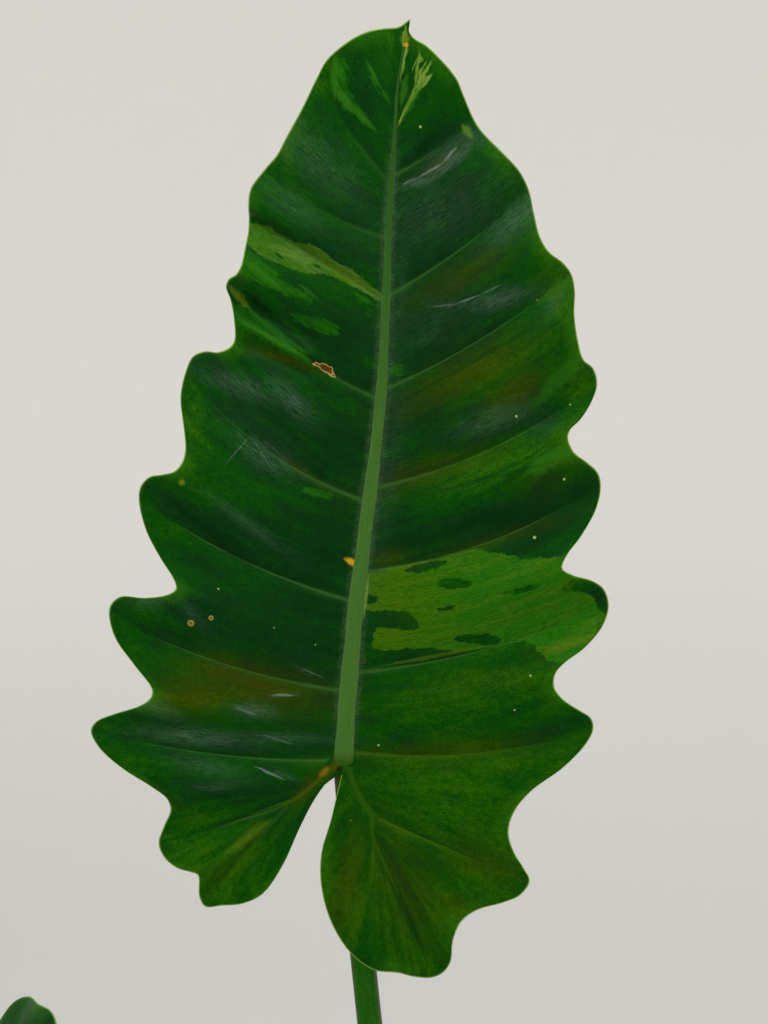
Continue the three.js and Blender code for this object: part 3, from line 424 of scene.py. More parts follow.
# Fine strokes of the large leaf by their colours: start and end on the plan, half width and strength
STROKES = {
    "fibre": [
        ((23.8, 281.6), (29, 293.9), 0.7, 0.9), ((26, 285.6), (33.4, 302.7), 0.9, 1),
        ((31.2, 297.4), (33.9, 316.8), 0.8, 0.9), ((31.2, 297.4), (39.6, 312), 1.1, 1),
        ((28.6, 290.4), (36.5, 304.5), 0.6, 0.8), ((26.4, 305), (27.3, 323.5), 0.9, 0.8),
        ((25.3, 301), (26, 316), 0.5, 0.7), ((34.8, 299.2), (39.8, 306), 0.8, 0.9),
        ((29.9, 305.4), (33, 313.3), 0.5, 0.6), ((11.2, 86), (9, 65), 0.9, 0.7),
        ((-34, 232), (-8, 219.5), 1.8, 0.2), ((-32, 228), (-2, 217.5), 0.9, 0.2),
        ((52, 284.5), (57.5, 276.5), 2.2, 0.4),
    ],
    "lush": [
        ((-3.5, 316), (-3.8, 292), 2.4, 0.8), ((-4, 300), (5, 287), 2.4, 0.9),
        ((2, 292), (15.5, 279), 1.7, 0.8), ((9.7, 312.5), (16.3, 298), 1.4, 0.4),
        ((15.4, 301), (22, 290.5), 1, 0.4), ((-59, -43), (-42, -31), 2.4, 0.4),
        ((-48, 226), (-25, 209), 2, 0.8), ((-47, 197.5), (-12.8, 178), 1.7, 0.6),
        ((-47, 199), (-30, 189), 1.1, 0.3), ((-20, 213), (-10, 205), 1.2, 0.5),
        ((28.4, 307), (25.2, 290), 1.7, 0.8), ((25, 283), (36, 304), 2, 0.6),
        # The lush stroke from (78, 128) to (102, 143) is painted light on a lit lobe.
        ((82, 158), (109, 185), 4.5, 0.5), ((78, 128), (102, 143), 4.5, 0.8),
    ],
    "olive": [
        ((-15, 226), (16, 206.6), 1.8, 0.45), ((11.5, 86.2), (44, 92.2), 0.8, 0.45),
        ((40, 91.6), (62, 97.2), 0.7, 0.35), ((13, 44.4), (70, 55), 1, 0.4),
        ((86, 50), (116, 60), 2.5, 0.4), ((-53, -38), (-30, -21), 3, 0.4),
        ((-46, -31), (-34, -22), 1.2, 0.35), ((-51, 213), (-40, 201), 2, 0.6),
    ],
    # The long dark strokes are painted shade in the valleys of folds and above veins.
    "dark": [
        ((-79, 121), (-50, 96), 1.9, 1), ((-61, 101.5), (-38, 88.5), 1.1, 0.8),
        ((25, 262), (47, 286), 3, 0.55), ((-36, 182), (-12, 171), 1.4, 0.6),
        ((-46, 213), (-13, 180), 2.2, 0.9), ((-42, 207.5), (-18, 187), 1.2, 0.7),
        ((-86, 66), (-58, 50), 2, 0.4), ((-50, 152), (-26, 132), 1.4, 0.4),
        ((15, -38), (38, -84), 1.6, 0.5), ((20, 116), (98, 136), 1.6, 0.4),
        ((20, 158), (88, 196), 1.4, 0.4), ((-41.4, 228.6), (-37.6, 225.8), 0.7, 0.9),
        ((-30.6, 226.8), (-25.4, 223.2), 0.8, 0.9), ((-14, 222), (-8.6, 219), 0.8, 0.9),
        ((7.4, 209.4), (14, 206.2), 0.7, 0.8), ((-88, 0), (-68, -20), 3.4, 0.6),
    ],
    "sheen": [
        ((25.5, 256.5), (33.9, 260), 0.6, 0.7), ((32, 259), (45.5, 266.8), 0.8, 0.9),
        ((43, 265), (51, 274.6), 0.8, 0.8), ((37.4, 202.4), (51, 203.7), 0.4, 0.5),
        ((49, 203.5), (61.5, 208.2), 0.55, 0.7), ((60, 207.5), (70, 212.4), 0.5, 0.5),
        ((-52.8, 132), (-40.5, 146.5), 0.35, 0.5), ((-40.5, 146.5), (-31, 131), 0.35, 0.3),
        ((-39.5, 1.7), (-24.3, -5), 0.7, 0.9), ((-36, 15.4), (-20.7, 10.6), 0.6, 0.4),
        ((-48, 27.5), (-37, 23.6), 1, 0.5), ((-32, 32.6), (-20, 32.2), 0.7, 0.8),
        ((-18.7, 44.4), (-7.5, 39.6), 0.35, 0.4),
    ],
}

# Small spots of the large leaf: place on the plan, radius and kind
SPOTS = [
    (27.4, 321, 2.6, "lime"), (27.7, 318.4, 1.1, "amber"), (34, 282, 0.7, "pale"),
    (76, 154.5, 0.6, "pale"),
    (97, 127, 0.6, "pale"), (84, 101.5, 0.7, "pale"), (82, 41, 0.5, "pale"), (85.5, 206, 0.6, "lime"),
    (-70.5, 125.5, 1.8, "lime"), (-66.5, 64, 1.5, "ring"), (-57.5, 66.3, 1.1, "ring"),
    (-54.5, 79, 0.4, "pale"), (9.2, 47.3, 1.2, "brown"), (9, 49.4, 0.7, "brown"),
    (5.8, 12.2, 0.8, "brown"), (-1.6, 0.1, 1.2, "black"), (-9.3, -2.4, 1.5, "rust"),
    (-8.2, -1.2, 1.7, "rust"), (-7, -0.1, 1.4, "rust"),
    (100, 160, 0.4, "pale"), (75, 26, 0.4, "pale"), (15.6, 10.5, 0.4, "pale"),
    (-41, -29, 0.6, "lime"), (-46, -33, 0.5, "lime"), (3.5, -22.5, 0.5, "lime"),
    (-12, 54.5, 0.3, "pale"), (-30, 62, 0.3, "pale"),
]
SCAR = [(-13.5, 177.5), (-8.5, 178), (-5, 175.5), (-3, 171.5), (-6.5, 173.2), (-10, 175.5)]
AMBER_MARK = [(0, 92.6), (4, 92.2), (6.4, 90.4), (5, 88.2), (2.8, 89.8)]

# Low folds of the large leaf: start, end, height and half width, on the plan in millimetres
BLADE_FOLDS = [
    ((-50, 199), (-14, 178), 3.4, 4.2), ((-46, 207), (-10, 187), -2.6, 4.5),
    ((-44, 187), (-14, 174), -1.6, 3.5), ((-34, 31), (-18, 33), 0.7, 1.8),
    ((-36, 3), (-20, -5), 0.8, 1.8), ((40, 262), (62, 278), 0.8, 3),
    ((-25, 45), (-10, 40), 0.5, 1.6),
]


def tint(red, green, blue):
    """A colour as a painter would read it off a screen, from 0 to 255, turned into light."""
    shares = []
    for value in (red, green, blue):
        share = value / 255
        shares.append(share / 12.92 if share < 0.04 else ((share + 0.055) / 1.055) ** 2.4)
    return (*shares, 1)


# Colours of the blades
SHEEN_GREEN = (0.07, 0.42, 0.06, 1)
DEEP_GREEN = tint(9, 48, 16)
SHADE_GREEN = tint(3, 36, 7)
LEAF_GREEN = tint(7, 68, 2)
WARM_GREEN = tint(42, 92, 0)
SPECK_DARK = tint(2, 20, 2)
SPECK_LIGHT = tint(34, 96, 20)
FRECKLE = tint(84, 84, 4)
OLIVE = tint(60, 60, 0)
PAINTED_GLOW_GREEN = tint(54, 112, 4)
BRIGHT_GREEN = tint(36, 102, 8)
STREAK_GREEN = tint(42, 100, 16)
LUSH_GREEN = tint(20, 86, 4)
PALE_GREEN = tint(78, 114, 44)
LIME = tint(60, 106, 10)
OLIVE_LIME = tint(72, 102, 2)
TIP_PALE = tint(108, 142, 48)
PATCH_EDGE = tint(92, 112, 16)
PAINTED_SHEEN_GREY = tint(100, 122, 110)
SHEEN_LINE = tint(108, 130, 116)
DOWN_GREY = tint(112, 130, 104)
VEIN_GREEN = tint(54, 94, 38)
VEIN_WARM = tint(60, 90, 10)
LIT_MARGIN_LIME = tint(136, 176, 70)
RIB_GREEN = tint(68, 110, 38)
RIB_DARK = tint(54, 96, 28)
RIB_UPPER = tint(42, 80, 28)
RIB_EDGE = tint(88, 110, 78)
OLIVE_RIB = tint(44, 80, 8)
BROWN_RIB = tint(68, 76, 10)
BACK_GREEN = tint(74, 118, 56)
BACK_DARK = tint(58, 100, 42)
BACK_VEIN = tint(112, 150, 78)
STROKE_COLOURS = dict(
    fibre=TIP_PALE, lush=STREAK_GREEN, olive=PATCH_EDGE, dark=SHADE_GREEN, sheen=SHEEN_LINE,
)
SPOT_COLOURS = dict(
    pale=tint(150, 170, 96), amber=tint(196, 138, 20), ring=tint(146, 136, 62), brown=tint(58, 52, 30),
    black=tint(28, 24, 10), rust=tint(126, 92, 14), lime=tint(98, 118, 20),
)
SOFT_SPOTS = ("lime", "rust")
SCAR_RIM = tint(184, 156, 80)
SCAR_BROWN = tint(84, 50, 18)
AMBER = tint(200, 156, 20)

# Colours of the stalks
STALK_SHEEN = (0.3, 0.6, 0.25, 1)
FLECK = tint(120, 150, 84)
COLLAR_RED = tint(74, 34, 24)
EDGE_ON_SHADE_BROWN = tint(76, 66, 22)
STALK_COLOURS = (tint(36, 106, 4), tint(24, 86, 2), tint(70, 92, 40))
NEW_LEAF_COLOURS = (tint(84, 128, 44), tint(62, 108, 34), tint(96, 120, 60))

# What takes the noises' average off the tone of the leaf's tissue
TONE_LEVEL = 3.6

# Colours of the stem, the soil, the clay and the floor
BARK_GREEN = tint(78, 92, 48)
BARK_SHADE = tint(60, 66, 34)
BARK_DRY = tint(112, 98, 66)
BARK_RING = tint(134, 116, 84)
SOIL_DARK = tint(38, 28, 21)
SOIL_BARK = tint(92, 64, 42)
SOIL_DUST = tint(58, 42, 30)
SOIL_WHITE = tint(206, 200, 188)
CLAY = tint(176, 98, 66)
CLAY_LIGHT = tint(196, 118, 84)
CLAY_LINE = tint(156, 82, 56)
CLAY_GRIT = tint(220, 160, 126)
CLAY_SALT = tint(214, 196, 180)
FLOOR_NEAR = ((0.545, 0.543, 0.53, 1), (0.56, 0.558, 0.545, 1))
FLOOR_FAR = ((0.872, 0.862, 0.835, 1), (0.887, 0.877, 0.85, 1))


def smooth(value):
    share = np.clip(value, 0.0, 1.0)
    return share * share * (3.0 - 2.0 * share)


def seeded_random(seed):
    """Random numbers from 0 to 1, the same in every run."""
    state = seed
    while True:
        state = (state * 1664525 + 1013904223) % 4294967296
        yield state / 4294967296


def drawn(random, ranges):
    """One random number from each range, which is given by its start and its width."""
    return [start + width * next(random) for start, width in ranges]


def path_lengths(places):
    """The length of a path up to each of its places."""
    return np.concatenate([[0], np.cumsum(np.linalg.norm(np.diff(places, axis=0), axis=1))])


def places_along(distance, lengths, path):
    """Places on the plan at distances along a path whose lengths are known."""
    return np.stack([np.interp(distance, lengths, path[:, axis]) for axis in (0, 1)], axis=-1)


def turns_round(sides):
    return 2 * math.pi * np.arange(sides) / sides


class Course:
    """A smooth curve through given points, which can also be followed by its length."""

    def __init__(self, points):
        self.points = np.array(points, float)
        before = 2 * self.points[0] - self.points[1]
        after = 2 * self.points[-1] - self.points[-2]
        self.padded = np.vstack([before, self.points, after])
        places = np.linspace(0, len(points) - 1, SAMPLES_PER_POINT * len(points))
        self.samples = np.array([self.at(place) for place in places])
        self.lengths = path_lengths(self.samples)

    def at(self, place):
        """The point at a place that is counted in points."""
        first = min(int(place), len(self.points) - 2)
        share = place - first
        p0, p1, p2, p3 = self.padded[first:first + 4]
        gap = [math.sqrt(np.linalg.norm(b - a)) or 1 for a, b in ((p0, p1), (p1, p2), (p2, p3))]
        leaving = ((p1 - p0) / gap[0] - (p2 - p0) / (gap[0] + gap[1]) + (p2 - p1) / gap[1]) * gap[1]
        arriving = ((p2 - p1) / gap[1] - (p3 - p1) / (gap[1] + gap[2]) + (p3 - p2) / gap[2]) * gap[1]
        cubic = 2 * p1 - 2 * p2 + leaving + arriving
        square = 3 * p2 - 3 * p1 - 2 * leaving - arriving
        return p1 + share * (leaving + share * (square + share * cubic))

    def along(self, share):
        """Points at shares of the curve's whole length."""
        return places_along(np.clip(share, 0, 1) * self.lengths[-1], self.lengths, self.samples)


MIDRIB_COURSE = Course(MIDRIB)


def basal_lengths(side):
    return path_lengths(np.array(BASAL_RIBS[side], float))


def out_along_basal(side, station):
    """How far out along the basal rib a negative station is: the line runs out along it and back."""
    reach = basal_lengths(side)[-1]
    return np.maximum(0, np.where(-station > reach, 2 * reach + station, -station))


def rib_points(side, station):
    """Places on the rib line: up the midrib if positive, on the basal rib if negative."""
    up = MIDRIB_COURSE.along(station / MIDRIB_LENGTH)
    out = out_along_basal(side, station)
    down = places_along(out, basal_lengths(side), np.array(BASAL_RIBS[side], float))
    return np.where((station >= 0)[..., None], up, down)


def rib_stoutness(side, station):
    left = np.clip(1 - station / MIDRIB_LENGTH, 0, 1)
    up = MIDRIB_TIP_STOUTNESS + (1 - MIDRIB_TIP_STOUTNESS) * left ** STOUTNESS_FALL
    fall = (1 - BASAL_TIP_STOUTNESS) * out_along_basal(side, station) / basal_lengths(side)[-1]
    return np.where(station >= 0, up, 1 - fall)


def above_stalk(station):
    return smooth((station + BASAL_FADE) / (2 * BASAL_FADE))


def blade_columns(leaf, side):
    """Lines from the rib to the margin, from the tip down to the notch, crowded towards the veins."""
    veins = SIDE_VEINS[side]
    random = seeded_random(leaf["seed"] * 2 + (0 if side == "right" else 1))
    edge = Course([MIDRIB[-1]] + [point for vein in veins for point in vein[3]])
    columns = []
    passed = 0
    last_station = MIDRIB_LENGTH
    last_stretch = 1
    last_sag = veins[0][1]
    last_clear = 0
    for number, (station, sag, clear, margin) in enumerate(veins):
        count = round(len(margin) * leaf["fine"])
        stretch = 1 + leaf["uneven"] * (2 * next(random) - 1)
        for k in range(0 if number == 0 else 1, count + 1):
            way = k / count
            between = way - COLUMN_CROWDING * math.sin(2 * math.pi * way) / (2 * math.pi)
            columns.append((
                number, between, last_station + (station - last_station) * between,
                last_stretch + (stretch - last_stretch) * smooth(between),
                last_sag + (sag - last_sag) * between, clear if between > 0.5 else last_clear,
                *edge.at(passed + between * len(margin)),
            ))
        passed += len(margin)
        last_station, last_stretch, last_sag, last_clear = station, stretch, sag, clear
    return np.array(columns)


def low_waves(x, y, seed):
    """Slow unevenness of a living blade, from -1 to 1."""
    random = seeded_random(seed * 97 + 13)
    total = np.zeros_like(x)
    for length in RIPPLE_LENGTHS:
        turn = 2 * math.pi * next(random)
        start = 2 * math.pi * next(random)
        across = x * math.cos(turn) + y * math.sin(turn)
        total += np.sin(across * 2 * math.pi / length + start) / len(RIPPLE_LENGTHS)
    return total


def fold_heights(x, y):
    """Height that the large leaf's own low folds add."""
    total = np.zeros_like(x)
    for (x0, y0), (x1, y1), height, half_width in BLADE_FOLDS:
        run_x, run_y = x1 - x0, y1 - y0
        length = math.hypot(run_x, run_y)
        share = ((x - x0) * run_x + (y - y0) * run_y) / length ** 2
        off = ((x - x0) * run_y - (y - y0) * run_x) / length
        inside = smooth(share * FOLD_ENDS + 0.5) * smooth((1 - share) * FOLD_ENDS + 0.5)
        total += height * np.exp(-(off / half_width) ** 2) * inside
    return total


def half_lattice(leaf, side):
    """The middle of a half blade, on a lattice of columns by rows, and all that its finish needs."""
    columns = blade_columns(leaf, side)
    cell, between, station, stretch, sag, clear, end_x, end_y = columns.T[:, :, None]
    along = np.linspace(0, 1, leaf["rows"] + 1)[None, :]
    start = rib_points(side, station[:, 0])
    run_x = stretch * (end_x - start[:, :1])
    run_y = stretch * (end_y - start[:, 1:])
    length = np.hypot(run_x, run_y)
    bow = 4 * along * (1 - along) * sag * (1 if side == "right" else -1)
    x = start[:, :1] + run_x * along + run_y * bow
    y = start[:, 1:] + run_y * along - run_x * bow

    spacing = np.zeros_like(x)
    veins = [0] + [i for i in range(len(columns)) if columns[i, 1] == 1]
    for low, high in zip(veins, veins[1:]):
        gap = np.hypot(x[high] - x[low], y[high] - y[low])
        spacing[low + (1 if low else 0):high + 1] = gap
    nearest = np.minimum(between, 1 - between) * spacing

    valley = 1 - np.sin(math.pi * np.clip(between, 0, 1)) ** (RELIEF_ROUNDNESS + RELIEF_SETTLES * along)
    valley = valley * np.where(clear == 0, 1, clear)
    share = (1 + above_stalk(station)) / 2 * np.minimum(1, length / RELIEF_FULL_LENGTH)
    height = leaf["relief"] * RELIEF * share * (1 - valley - RELIEF_SINK) * along ** RELIEF_GROWTH
    height = height + leaf["fold"] * length * along * (1 - FOLD_SETTLES * along) - leaf["droop"] * x * x
    edge = length * (1 - along)
    reach = length * along
    vein_fade = clear * smooth((edge - VEIN_FADE_TO) / (VEIN_FADE_FROM - VEIN_FADE_TO))
    height = height - VEIN_GROOVE * np.exp(-(nearest / VEIN_GROOVE_WIDTH) ** 2) * vein_fade
    height = height + RIPPLE * low_waves(x, y, leaf["seed"]) * smooth(reach / RIPPLE_GROWS_OVER)
    if leaf["name"] == "leaf_1":
        height = height + fold_heights(x, y)
    ridge = VEIN_RIDGE * np.exp(-(nearest / VEIN_RIDGE_WIDTH) ** 2) * vein_fade
    thickness = BLADE_THICK + (BLADE_THIN - BLADE_THICK) * along
    beside = np.abs(x - MIDRIB_COURSE.along(y / MIDRIB_LENGTH)[..., 0])
    beside = beside - RIB_HALF_WIDTH * rib_stoutness(side, np.maximum(0, y))
    return dict(
        x=x, y=y, top=height + thickness / 2, low=height - thickness / 2 - ridge,
        cell=cell + between + 0 * x, spacing=spacing, reach=reach,
        edge=edge, vein=vein_fade, beside=np.where(y > -2, beside, FAR_AWAY),
    )


def depth_inside(x, y, outline):
    """How far inside an outline each place lies, in millimetres, and less than zero outside it."""
    corners = np.array(outline, float)
    nearest = np.full(x.shape, 1e3)
    inside = np.zeros(x.shape, bool)
    for (x0, y0), (x1, y1) in zip(corners, np.roll(corners, -1, axis=0)):
        run_x, run_y = x1 - x0, y1 - y0
        share = np.clip(((x - x0) * run_x + (y - y0) * run_y) / (run_x ** 2 + run_y ** 2), 0, 1)
        nearest = np.minimum(nearest, np.hypot(x - x0 - share * run_x, y - y0 - share * run_y))
        if run_y != 0:
            crosses = (y0 > y) != (y1 > y)
            inside ^= crosses & (x < x0 + (y - y0) * run_x / run_y)
    return np.where(inside, nearest, -nearest)


def deepest_inside(x, y, outlines):
    """How far each place lies inside the one of several outlines that holds it deepest."""
    depth = np.full(x.shape, FAR_OUTSIDE)
    for outline in outlines:
        depth = np.maximum(depth, depth_inside(x, y, outline))
    return depth


def soft_marks(x, y, marks):
    """Strength of a list of soft oval marks at each place."""
    total = np.zeros_like(x)
    for mid_x, mid_y, half_length, half_width, turn, strength in marks:
        cos, sin = math.cos(math.radians(turn)), math.sin(math.radians(turn))
        a = ((x - mid_x) * cos + (y - mid_y) * sin) / half_length
        b = (-(x - mid_x) * sin + (y - mid_y) * cos) / half_width
        total = np.maximum(total, strength * np.exp(-(a * a + b * b)))
    return total


def mark_first_blade(half):
    """The patches, scar and soft marks of the large leaf, where the photograph shows them."""
    x, y = half["x"], half["y"]
    half["pale"] = np.minimum(deepest_inside(x, y, PALE_PATCHES), -deepest_inside(x, y, DARK_ISLANDS))
    half["lush"] = deepest_inside(x, y, LUSH_PATCHES)
    half["scar"] = depth_inside(x, y, SCAR)
    half["amber"] = depth_inside(x, y, AMBER_MARK)
    for name, marks in SOFT_MARKS.items():
        half[name] = soft_marks(x, y, marks)


def mark_other_blade(leaf, side, half):
    """Patches that lie along the veins and soft marks, all at random places of a half blade."""
    random = seeded_random(leaf["seed"] * 31 + (7 if side == "right" else 19))
    for name in ("pale", "lush", "scar", "amber"):
        half[name] = np.full(half["x"].shape, FAR_OUTSIDE)
    for name, number in RANDOM_PATCHES.items():
        for _ in range(number):
            mid_cell, mid_reach, half_length, widest = drawn(random, PATCH_RANGES)
            half_width = widest * next(random)
            off_cell = np.abs(half["cell"] - mid_cell) * half["spacing"]
            off_reach = (half["reach"] - mid_reach) / half_length
            half[name] = np.maximum(half[name], half_width * (1 - off_reach ** 2) - off_cell)
    out = 1 if side == "right" else -1
    for name, (number, size, strength) in RANDOM_MARKS.items():
        marks = []
        for _ in range(number):
            x, y, half_length, half_width, turn, share = drawn(random, MARK_RANGES)
            oval = (out * x, y, size * half_length, size * half_width, out * turn, strength * share)
            marks.append(oval)
        half[name] = soft_marks(half["x"], half["y"], marks)


def direction(turn, pitch):
    """A unit vector from a turn about +Z, counted from +X, and a pitch from level, in degrees."""
    flat, rise = math.radians(turn), math.radians(pitch)
    return Vector((math.cos(flat) * math.cos(rise), math.sin(flat) * math.cos(rise), math.sin(rise)))


def blade_axes(leaf):
    """The blade's own directions in the frame: to its right, to its tip, and out of its upper face."""
    if leaf["face_front"]:
        face = direction(leaf["turn"] + 180, 90 - leaf["pitch"])
    else:
        face = direction(leaf["turn"], leaf["pitch"] + 90)
    along = direction(leaf["turn"], leaf["pitch"])
    along = Matrix.Rotation(math.radians(leaf["roll"]), 3, face) @ along
    return along.cross(face), along, face


def set_in_place(leaf, x, y, z):
    """Plan places and heights of a blade, arched, twisted and hung in the frame, in metres."""
    way = y / MIDRIB_LENGTH
    turn = math.radians(leaf["twist"]) * way
    across = leaf["width"] * (x * np.cos(turn) - z * np.sin(turn)) + leaf["sway"] * way * np.abs(way)
    out = x * np.sin(turn) + z * np.cos(turn)
    radius = MIDRIB_LENGTH / math.radians(leaf["arch"])
    bend = y / radius
    flip = -1 if leaf["mirrored"] else 1
    own = (flip * across, (radius + out) * np.sin(bend), out * np.cos(bend) - radius * (1 - np.cos(bend)))
    places = np.array(leaf["top"], float) + 0 * x[..., None]
    for value, axis in zip(own, blade_axes(leaf)):
        places = places + leaf["size"] * value[..., None] * np.array(axis)
    return places * MM


BLADE_FLOATS = ("cell", "spacing", "edge", "vein", "beside", "pale", "lush", "scar", "amber", *SOFT_MARKS)


def new_mesh(float_names, vector_names):
    """An empty mesh and its layers of values, which its finish reads by their names."""
    mesh = bmesh.new()
    layers = {name: mesh.verts.layers.float.new(name) for name in float_names}
    for name in vector_names:
        layers[name] = mesh.verts.layers.float_vector.new(name)
    return mesh, layers


def set_values(vert, layers, **values):
    for name, value in values.items():
        vert[layers[name]] = value


def grid_places(verts, steps, sides):
    """Each vert of a fresh grid with its step and its side."""
    for vert in verts:
        yield vert, round((vert.co.x + 1) / 2 * steps), round((vert.co.y + 1) / 2 * sides)


def add_half_sheet(blade, layers, leaf, half):
    """One half of the blade, a thin closed sheet: a doubled grid with both faces laid on the lattice."""
    columns, rows = half["x"].shape[0] - 1, half["x"].shape[1] - 1
    under = bmesh.ops.create_grid(blade, x_segments=columns, y_segments=rows, size=1)["verts"]
    faces = list({face for vert in under for face in vert.link_faces})
    doubled = bmesh.ops.extrude_face_region(blade, geom=faces, use_keep_orig=True)
    over = [item for item in doubled["geom"] if isinstance(item, bmesh.types.BMVert)]
    for verts, height, is_under in ((over, half["top"], 0), (under, half["low"], 1)):
        places = set_in_place(leaf, half["x"], half["y"], height)
        for vert, i, j in grid_places(verts, columns, rows):
            vert.co = places[i, j]
            set_values(
                vert, layers, under=is_under, plan=(half["x"][i, j], half["y"][i, j], 0),
                lay=(half["cell"][i, j] * LAY_PER_CELL, half["reach"][i, j], leaf["seed"]),
                **{name: half[name][i, j] for name in BLADE_FLOATS},
            )
    bmesh.ops.remove_doubles(blade, verts=over + under, dist=SAME_PLACE * MM)


def add_skin(mesh, places):
    """A grid rolled up along the given rings of places, still open at its seam and its ends."""
    steps, sides = places.shape[0] - 1, places.shape[1]
    made = bmesh.ops.create_grid(mesh, x_segments=steps, y_segments=sides, size=1)
    spots = []
    for vert, i, j in grid_places(made["verts"], steps, sides):
        vert.co = places[i, j % sides]
        spots.append((vert, i, j % sides))
    return spots


def close_skin(mesh, spots):
    """Joins the seam of a rolled grid and fills what is left open at its ends."""
    verts = [vert for vert, _, _ in spots]
    bmesh.ops.remove_doubles(mesh, verts=verts, dist=SAME_SEAM * MM)
    verts = [vert for vert in verts if vert.is_valid]
    open_edges = list({edge for vert in verts for edge in vert.link_edges if edge.is_boundary})
    if open_edges:
        bmesh.ops.holes_fill(mesh, edges=open_edges, sides=0)


def add_rib(blade, layers, leaf, points, stoutness, raised):
    """A tapering rod, low on the upper face and deep on the under face. The midrib is raised by 1."""
    tangents = np.gradient(points, axis=0)
    tangents /= np.linalg.norm(tangents, axis=1)[:, None]
    turns = turns_round(RIB_SIDES)
    steps = len(points)
    from_end = np.minimum(np.arange(steps), steps - 1 - np.arange(steps))[:, None]
    wide = np.clip(from_end / RIB_STEPS_TO_FULL_WIDTH, 0, 1) ** 0.5
    high = np.clip(from_end / RIB_STEPS_TO_FULL_HEIGHT, 0, 1)
    stout = stoutness[:, None] * high
    out = RIB_HALF_WIDTH * stoutness[:, None] * wide * np.cos(turns)[None, :]
    half_thick = BLADE_THICK / 2 * high
    over = (RIB_PROUD * half_thick + raised * RIB_RISE * stout) * np.abs(np.sin(turns)) ** RIB_ROUNDNESS
    rise = np.where(np.sin(turns) > 0, over, (half_thick + RIB_DEPTH * stout) * np.sin(turns))
    x = points[:, :1] + tangents[:, 1:] * out
    y = points[:, 1:] - tangents[:, :1] * out
    lengths = path_lengths(points)
    marks = {name: np.zeros_like(x) for name in ("warm", "cool_and_shaded", "olive")}
    if leaf["name"] == "leaf_1":
        marks = {name: soft_marks(x, y, SOFT_MARKS[name]) for name in marks}
    spots = add_skin(blade, set_in_place(leaf, x, y, rise - leaf["droop"] * x * x))
    for vert, i, k in spots:
        set_values(
            vert, layers, rib=raised, across=math.cos(turns[k]), under=1 if rise[i, k] < 0 else 0,
            lay=(out[i, k], lengths[i], leaf["seed"]), plan=(x[i, k], y[i, k], 0),
            edge=FAR_AWAY, beside=FAR_AWAY, pale=FAR_OUTSIDE, lush=FAR_OUTSIDE,
            scar=FAR_OUTSIDE, amber=FAR_OUTSIDE,
            **{name: strength[i, k] for name, strength in marks.items()},
        )
    close_skin(blade, spots)


def finish_mesh(mesh, name, material):
    """Turns a bmesh into a smooth shaded object with its faces pointing out."""
    bmesh.ops.recalc_face_normals(mesh, faces=mesh.faces[:])
    for face in mesh.faces:
        face.smooth = True
    data = bpy.data.meshes.new(name)
    mesh.to_mesh(data)
    mesh.free()
    data.materials.append(material)
    piece = bpy.data.objects.new(name, data)
    bpy.context.scene.collection.objects.link(piece)
    return piece


def place_piece(piece, slot, *nodes):
    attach(piece, "root")
    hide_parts(*nodes)


def make_blade(leaf, material):
    blade, layers = new_mesh(BLADE_FLOATS + ("under", "rib", "across"), ("lay", "plan"))
    for side in ("right", "left"):
        half = half_lattice(leaf, side)
        if leaf["name"] == "leaf_1":
            mark_first_blade(half)
        else:
            mark_other_blade(leaf, side, half)
        add_half_sheet(blade, layers, leaf, half)
    way = np.linspace(0, 1, round(MIDRIB_STEPS * leaf["fine"])) ** MIDRIB_CROWDING
    stoutness = rib_stoutness("right", MIDRIB_LENGTH * way)
    add_rib(blade, layers, leaf, MIDRIB_COURSE.along(way), stoutness, 1)
    for side, tail in BASAL_TAILS.items():
        course = Course([BASAL_START] + BASAL_RIBS[side][1:] + tail)
        way = np.linspace(BASAL_FIRST, 1, round(BASAL_STEPS * leaf["fine"]))
        stoutness = BASAL_SLENDERNESS * (1 - BASAL_THINNING * way)
        add_rib(blade, layers, leaf, course.along(way), stoutness, BASAL_RAISED)
    piece = finish_mesh(blade, leaf["name"] + "_blade_skin", material)
    place_piece(piece, "blade", leaf["name"] + "_blade")


def bezier(points):
    """Places of a cubic curve at even steps, its directions there and its lengths up to them."""
    a, b, c, d = [np.array(point, float) for point in points]
    t = np.linspace(0, 1, ROD_STEPS + 1)[:, None]
    s = 1 - t
    places = s ** 3 * a + 3 * s ** 2 * t * b + 3 * s * t ** 2 * c + t ** 3 * d
    ways = 3 * s ** 2 * (b - a) + 6 * s * t * (c - b) + 3 * t ** 2 * (d - c)
    return places, ways / np.linalg.norm(ways, axis=1)[:, None], path_lengths(places)


def make_rod(name, places, ways, lengths, radii, first_normal, seed, material):
    """A closed rod on rings that are carried along a line without turning. radii is steps by sides."""
    sides = radii.shape[1]
    turns = turns_round(sides)
    normal = np.array(first_normal, float)
    rings = []
    for centre, way, reach in zip(places, ways, radii):
        normal = normal - way * (normal @ way)
        normal /= np.linalg.norm(normal)
        other = np.cross(way, normal)
        round_it = np.cos(turns)[:, None] * normal + np.sin(turns)[:, None] * other
        rings.append(centre + reach[:, None] * round_it)
    mesh, layers = new_mesh(("length", "to_end"), ("round",))
    spots = add_skin(mesh, np.array(rings) * MM)
    for vert, i, k in spots:
        set_values(
            vert, layers, length=lengths[i], to_end=lengths[-1] - lengths[i],
            round=(math.cos(turns[k]), math.sin(turns[k]), seed),
        )
    close_skin(mesh, spots)
    return finish_mesh(mesh, name + "_skin", material)


def stalk_course(leaf):
    right, along, face = blade_axes(leaf)
    outward = direction(leaf["foot_turn"], 0)
    foot = Vector((0, 0, leaf["foot"])) + outward * STEM_RADIUS * STALK_ROOT
    across, up, out = [leaf["size"] * value for value in STALK_MEETS_BLADE]
    end = Vector(leaf["top"]) + right * across + along * up + face * out
    span = (end - foot).length
    leaving = foot + direction(leaf["foot_turn"], leaf["foot_pitch"]) * span * STALK_LEAVES_STEM
    arriving = end - direction(*leaf["stalk_end"]) * span * leaf["stalk_hold"]
    return foot, leaving, arriving, end


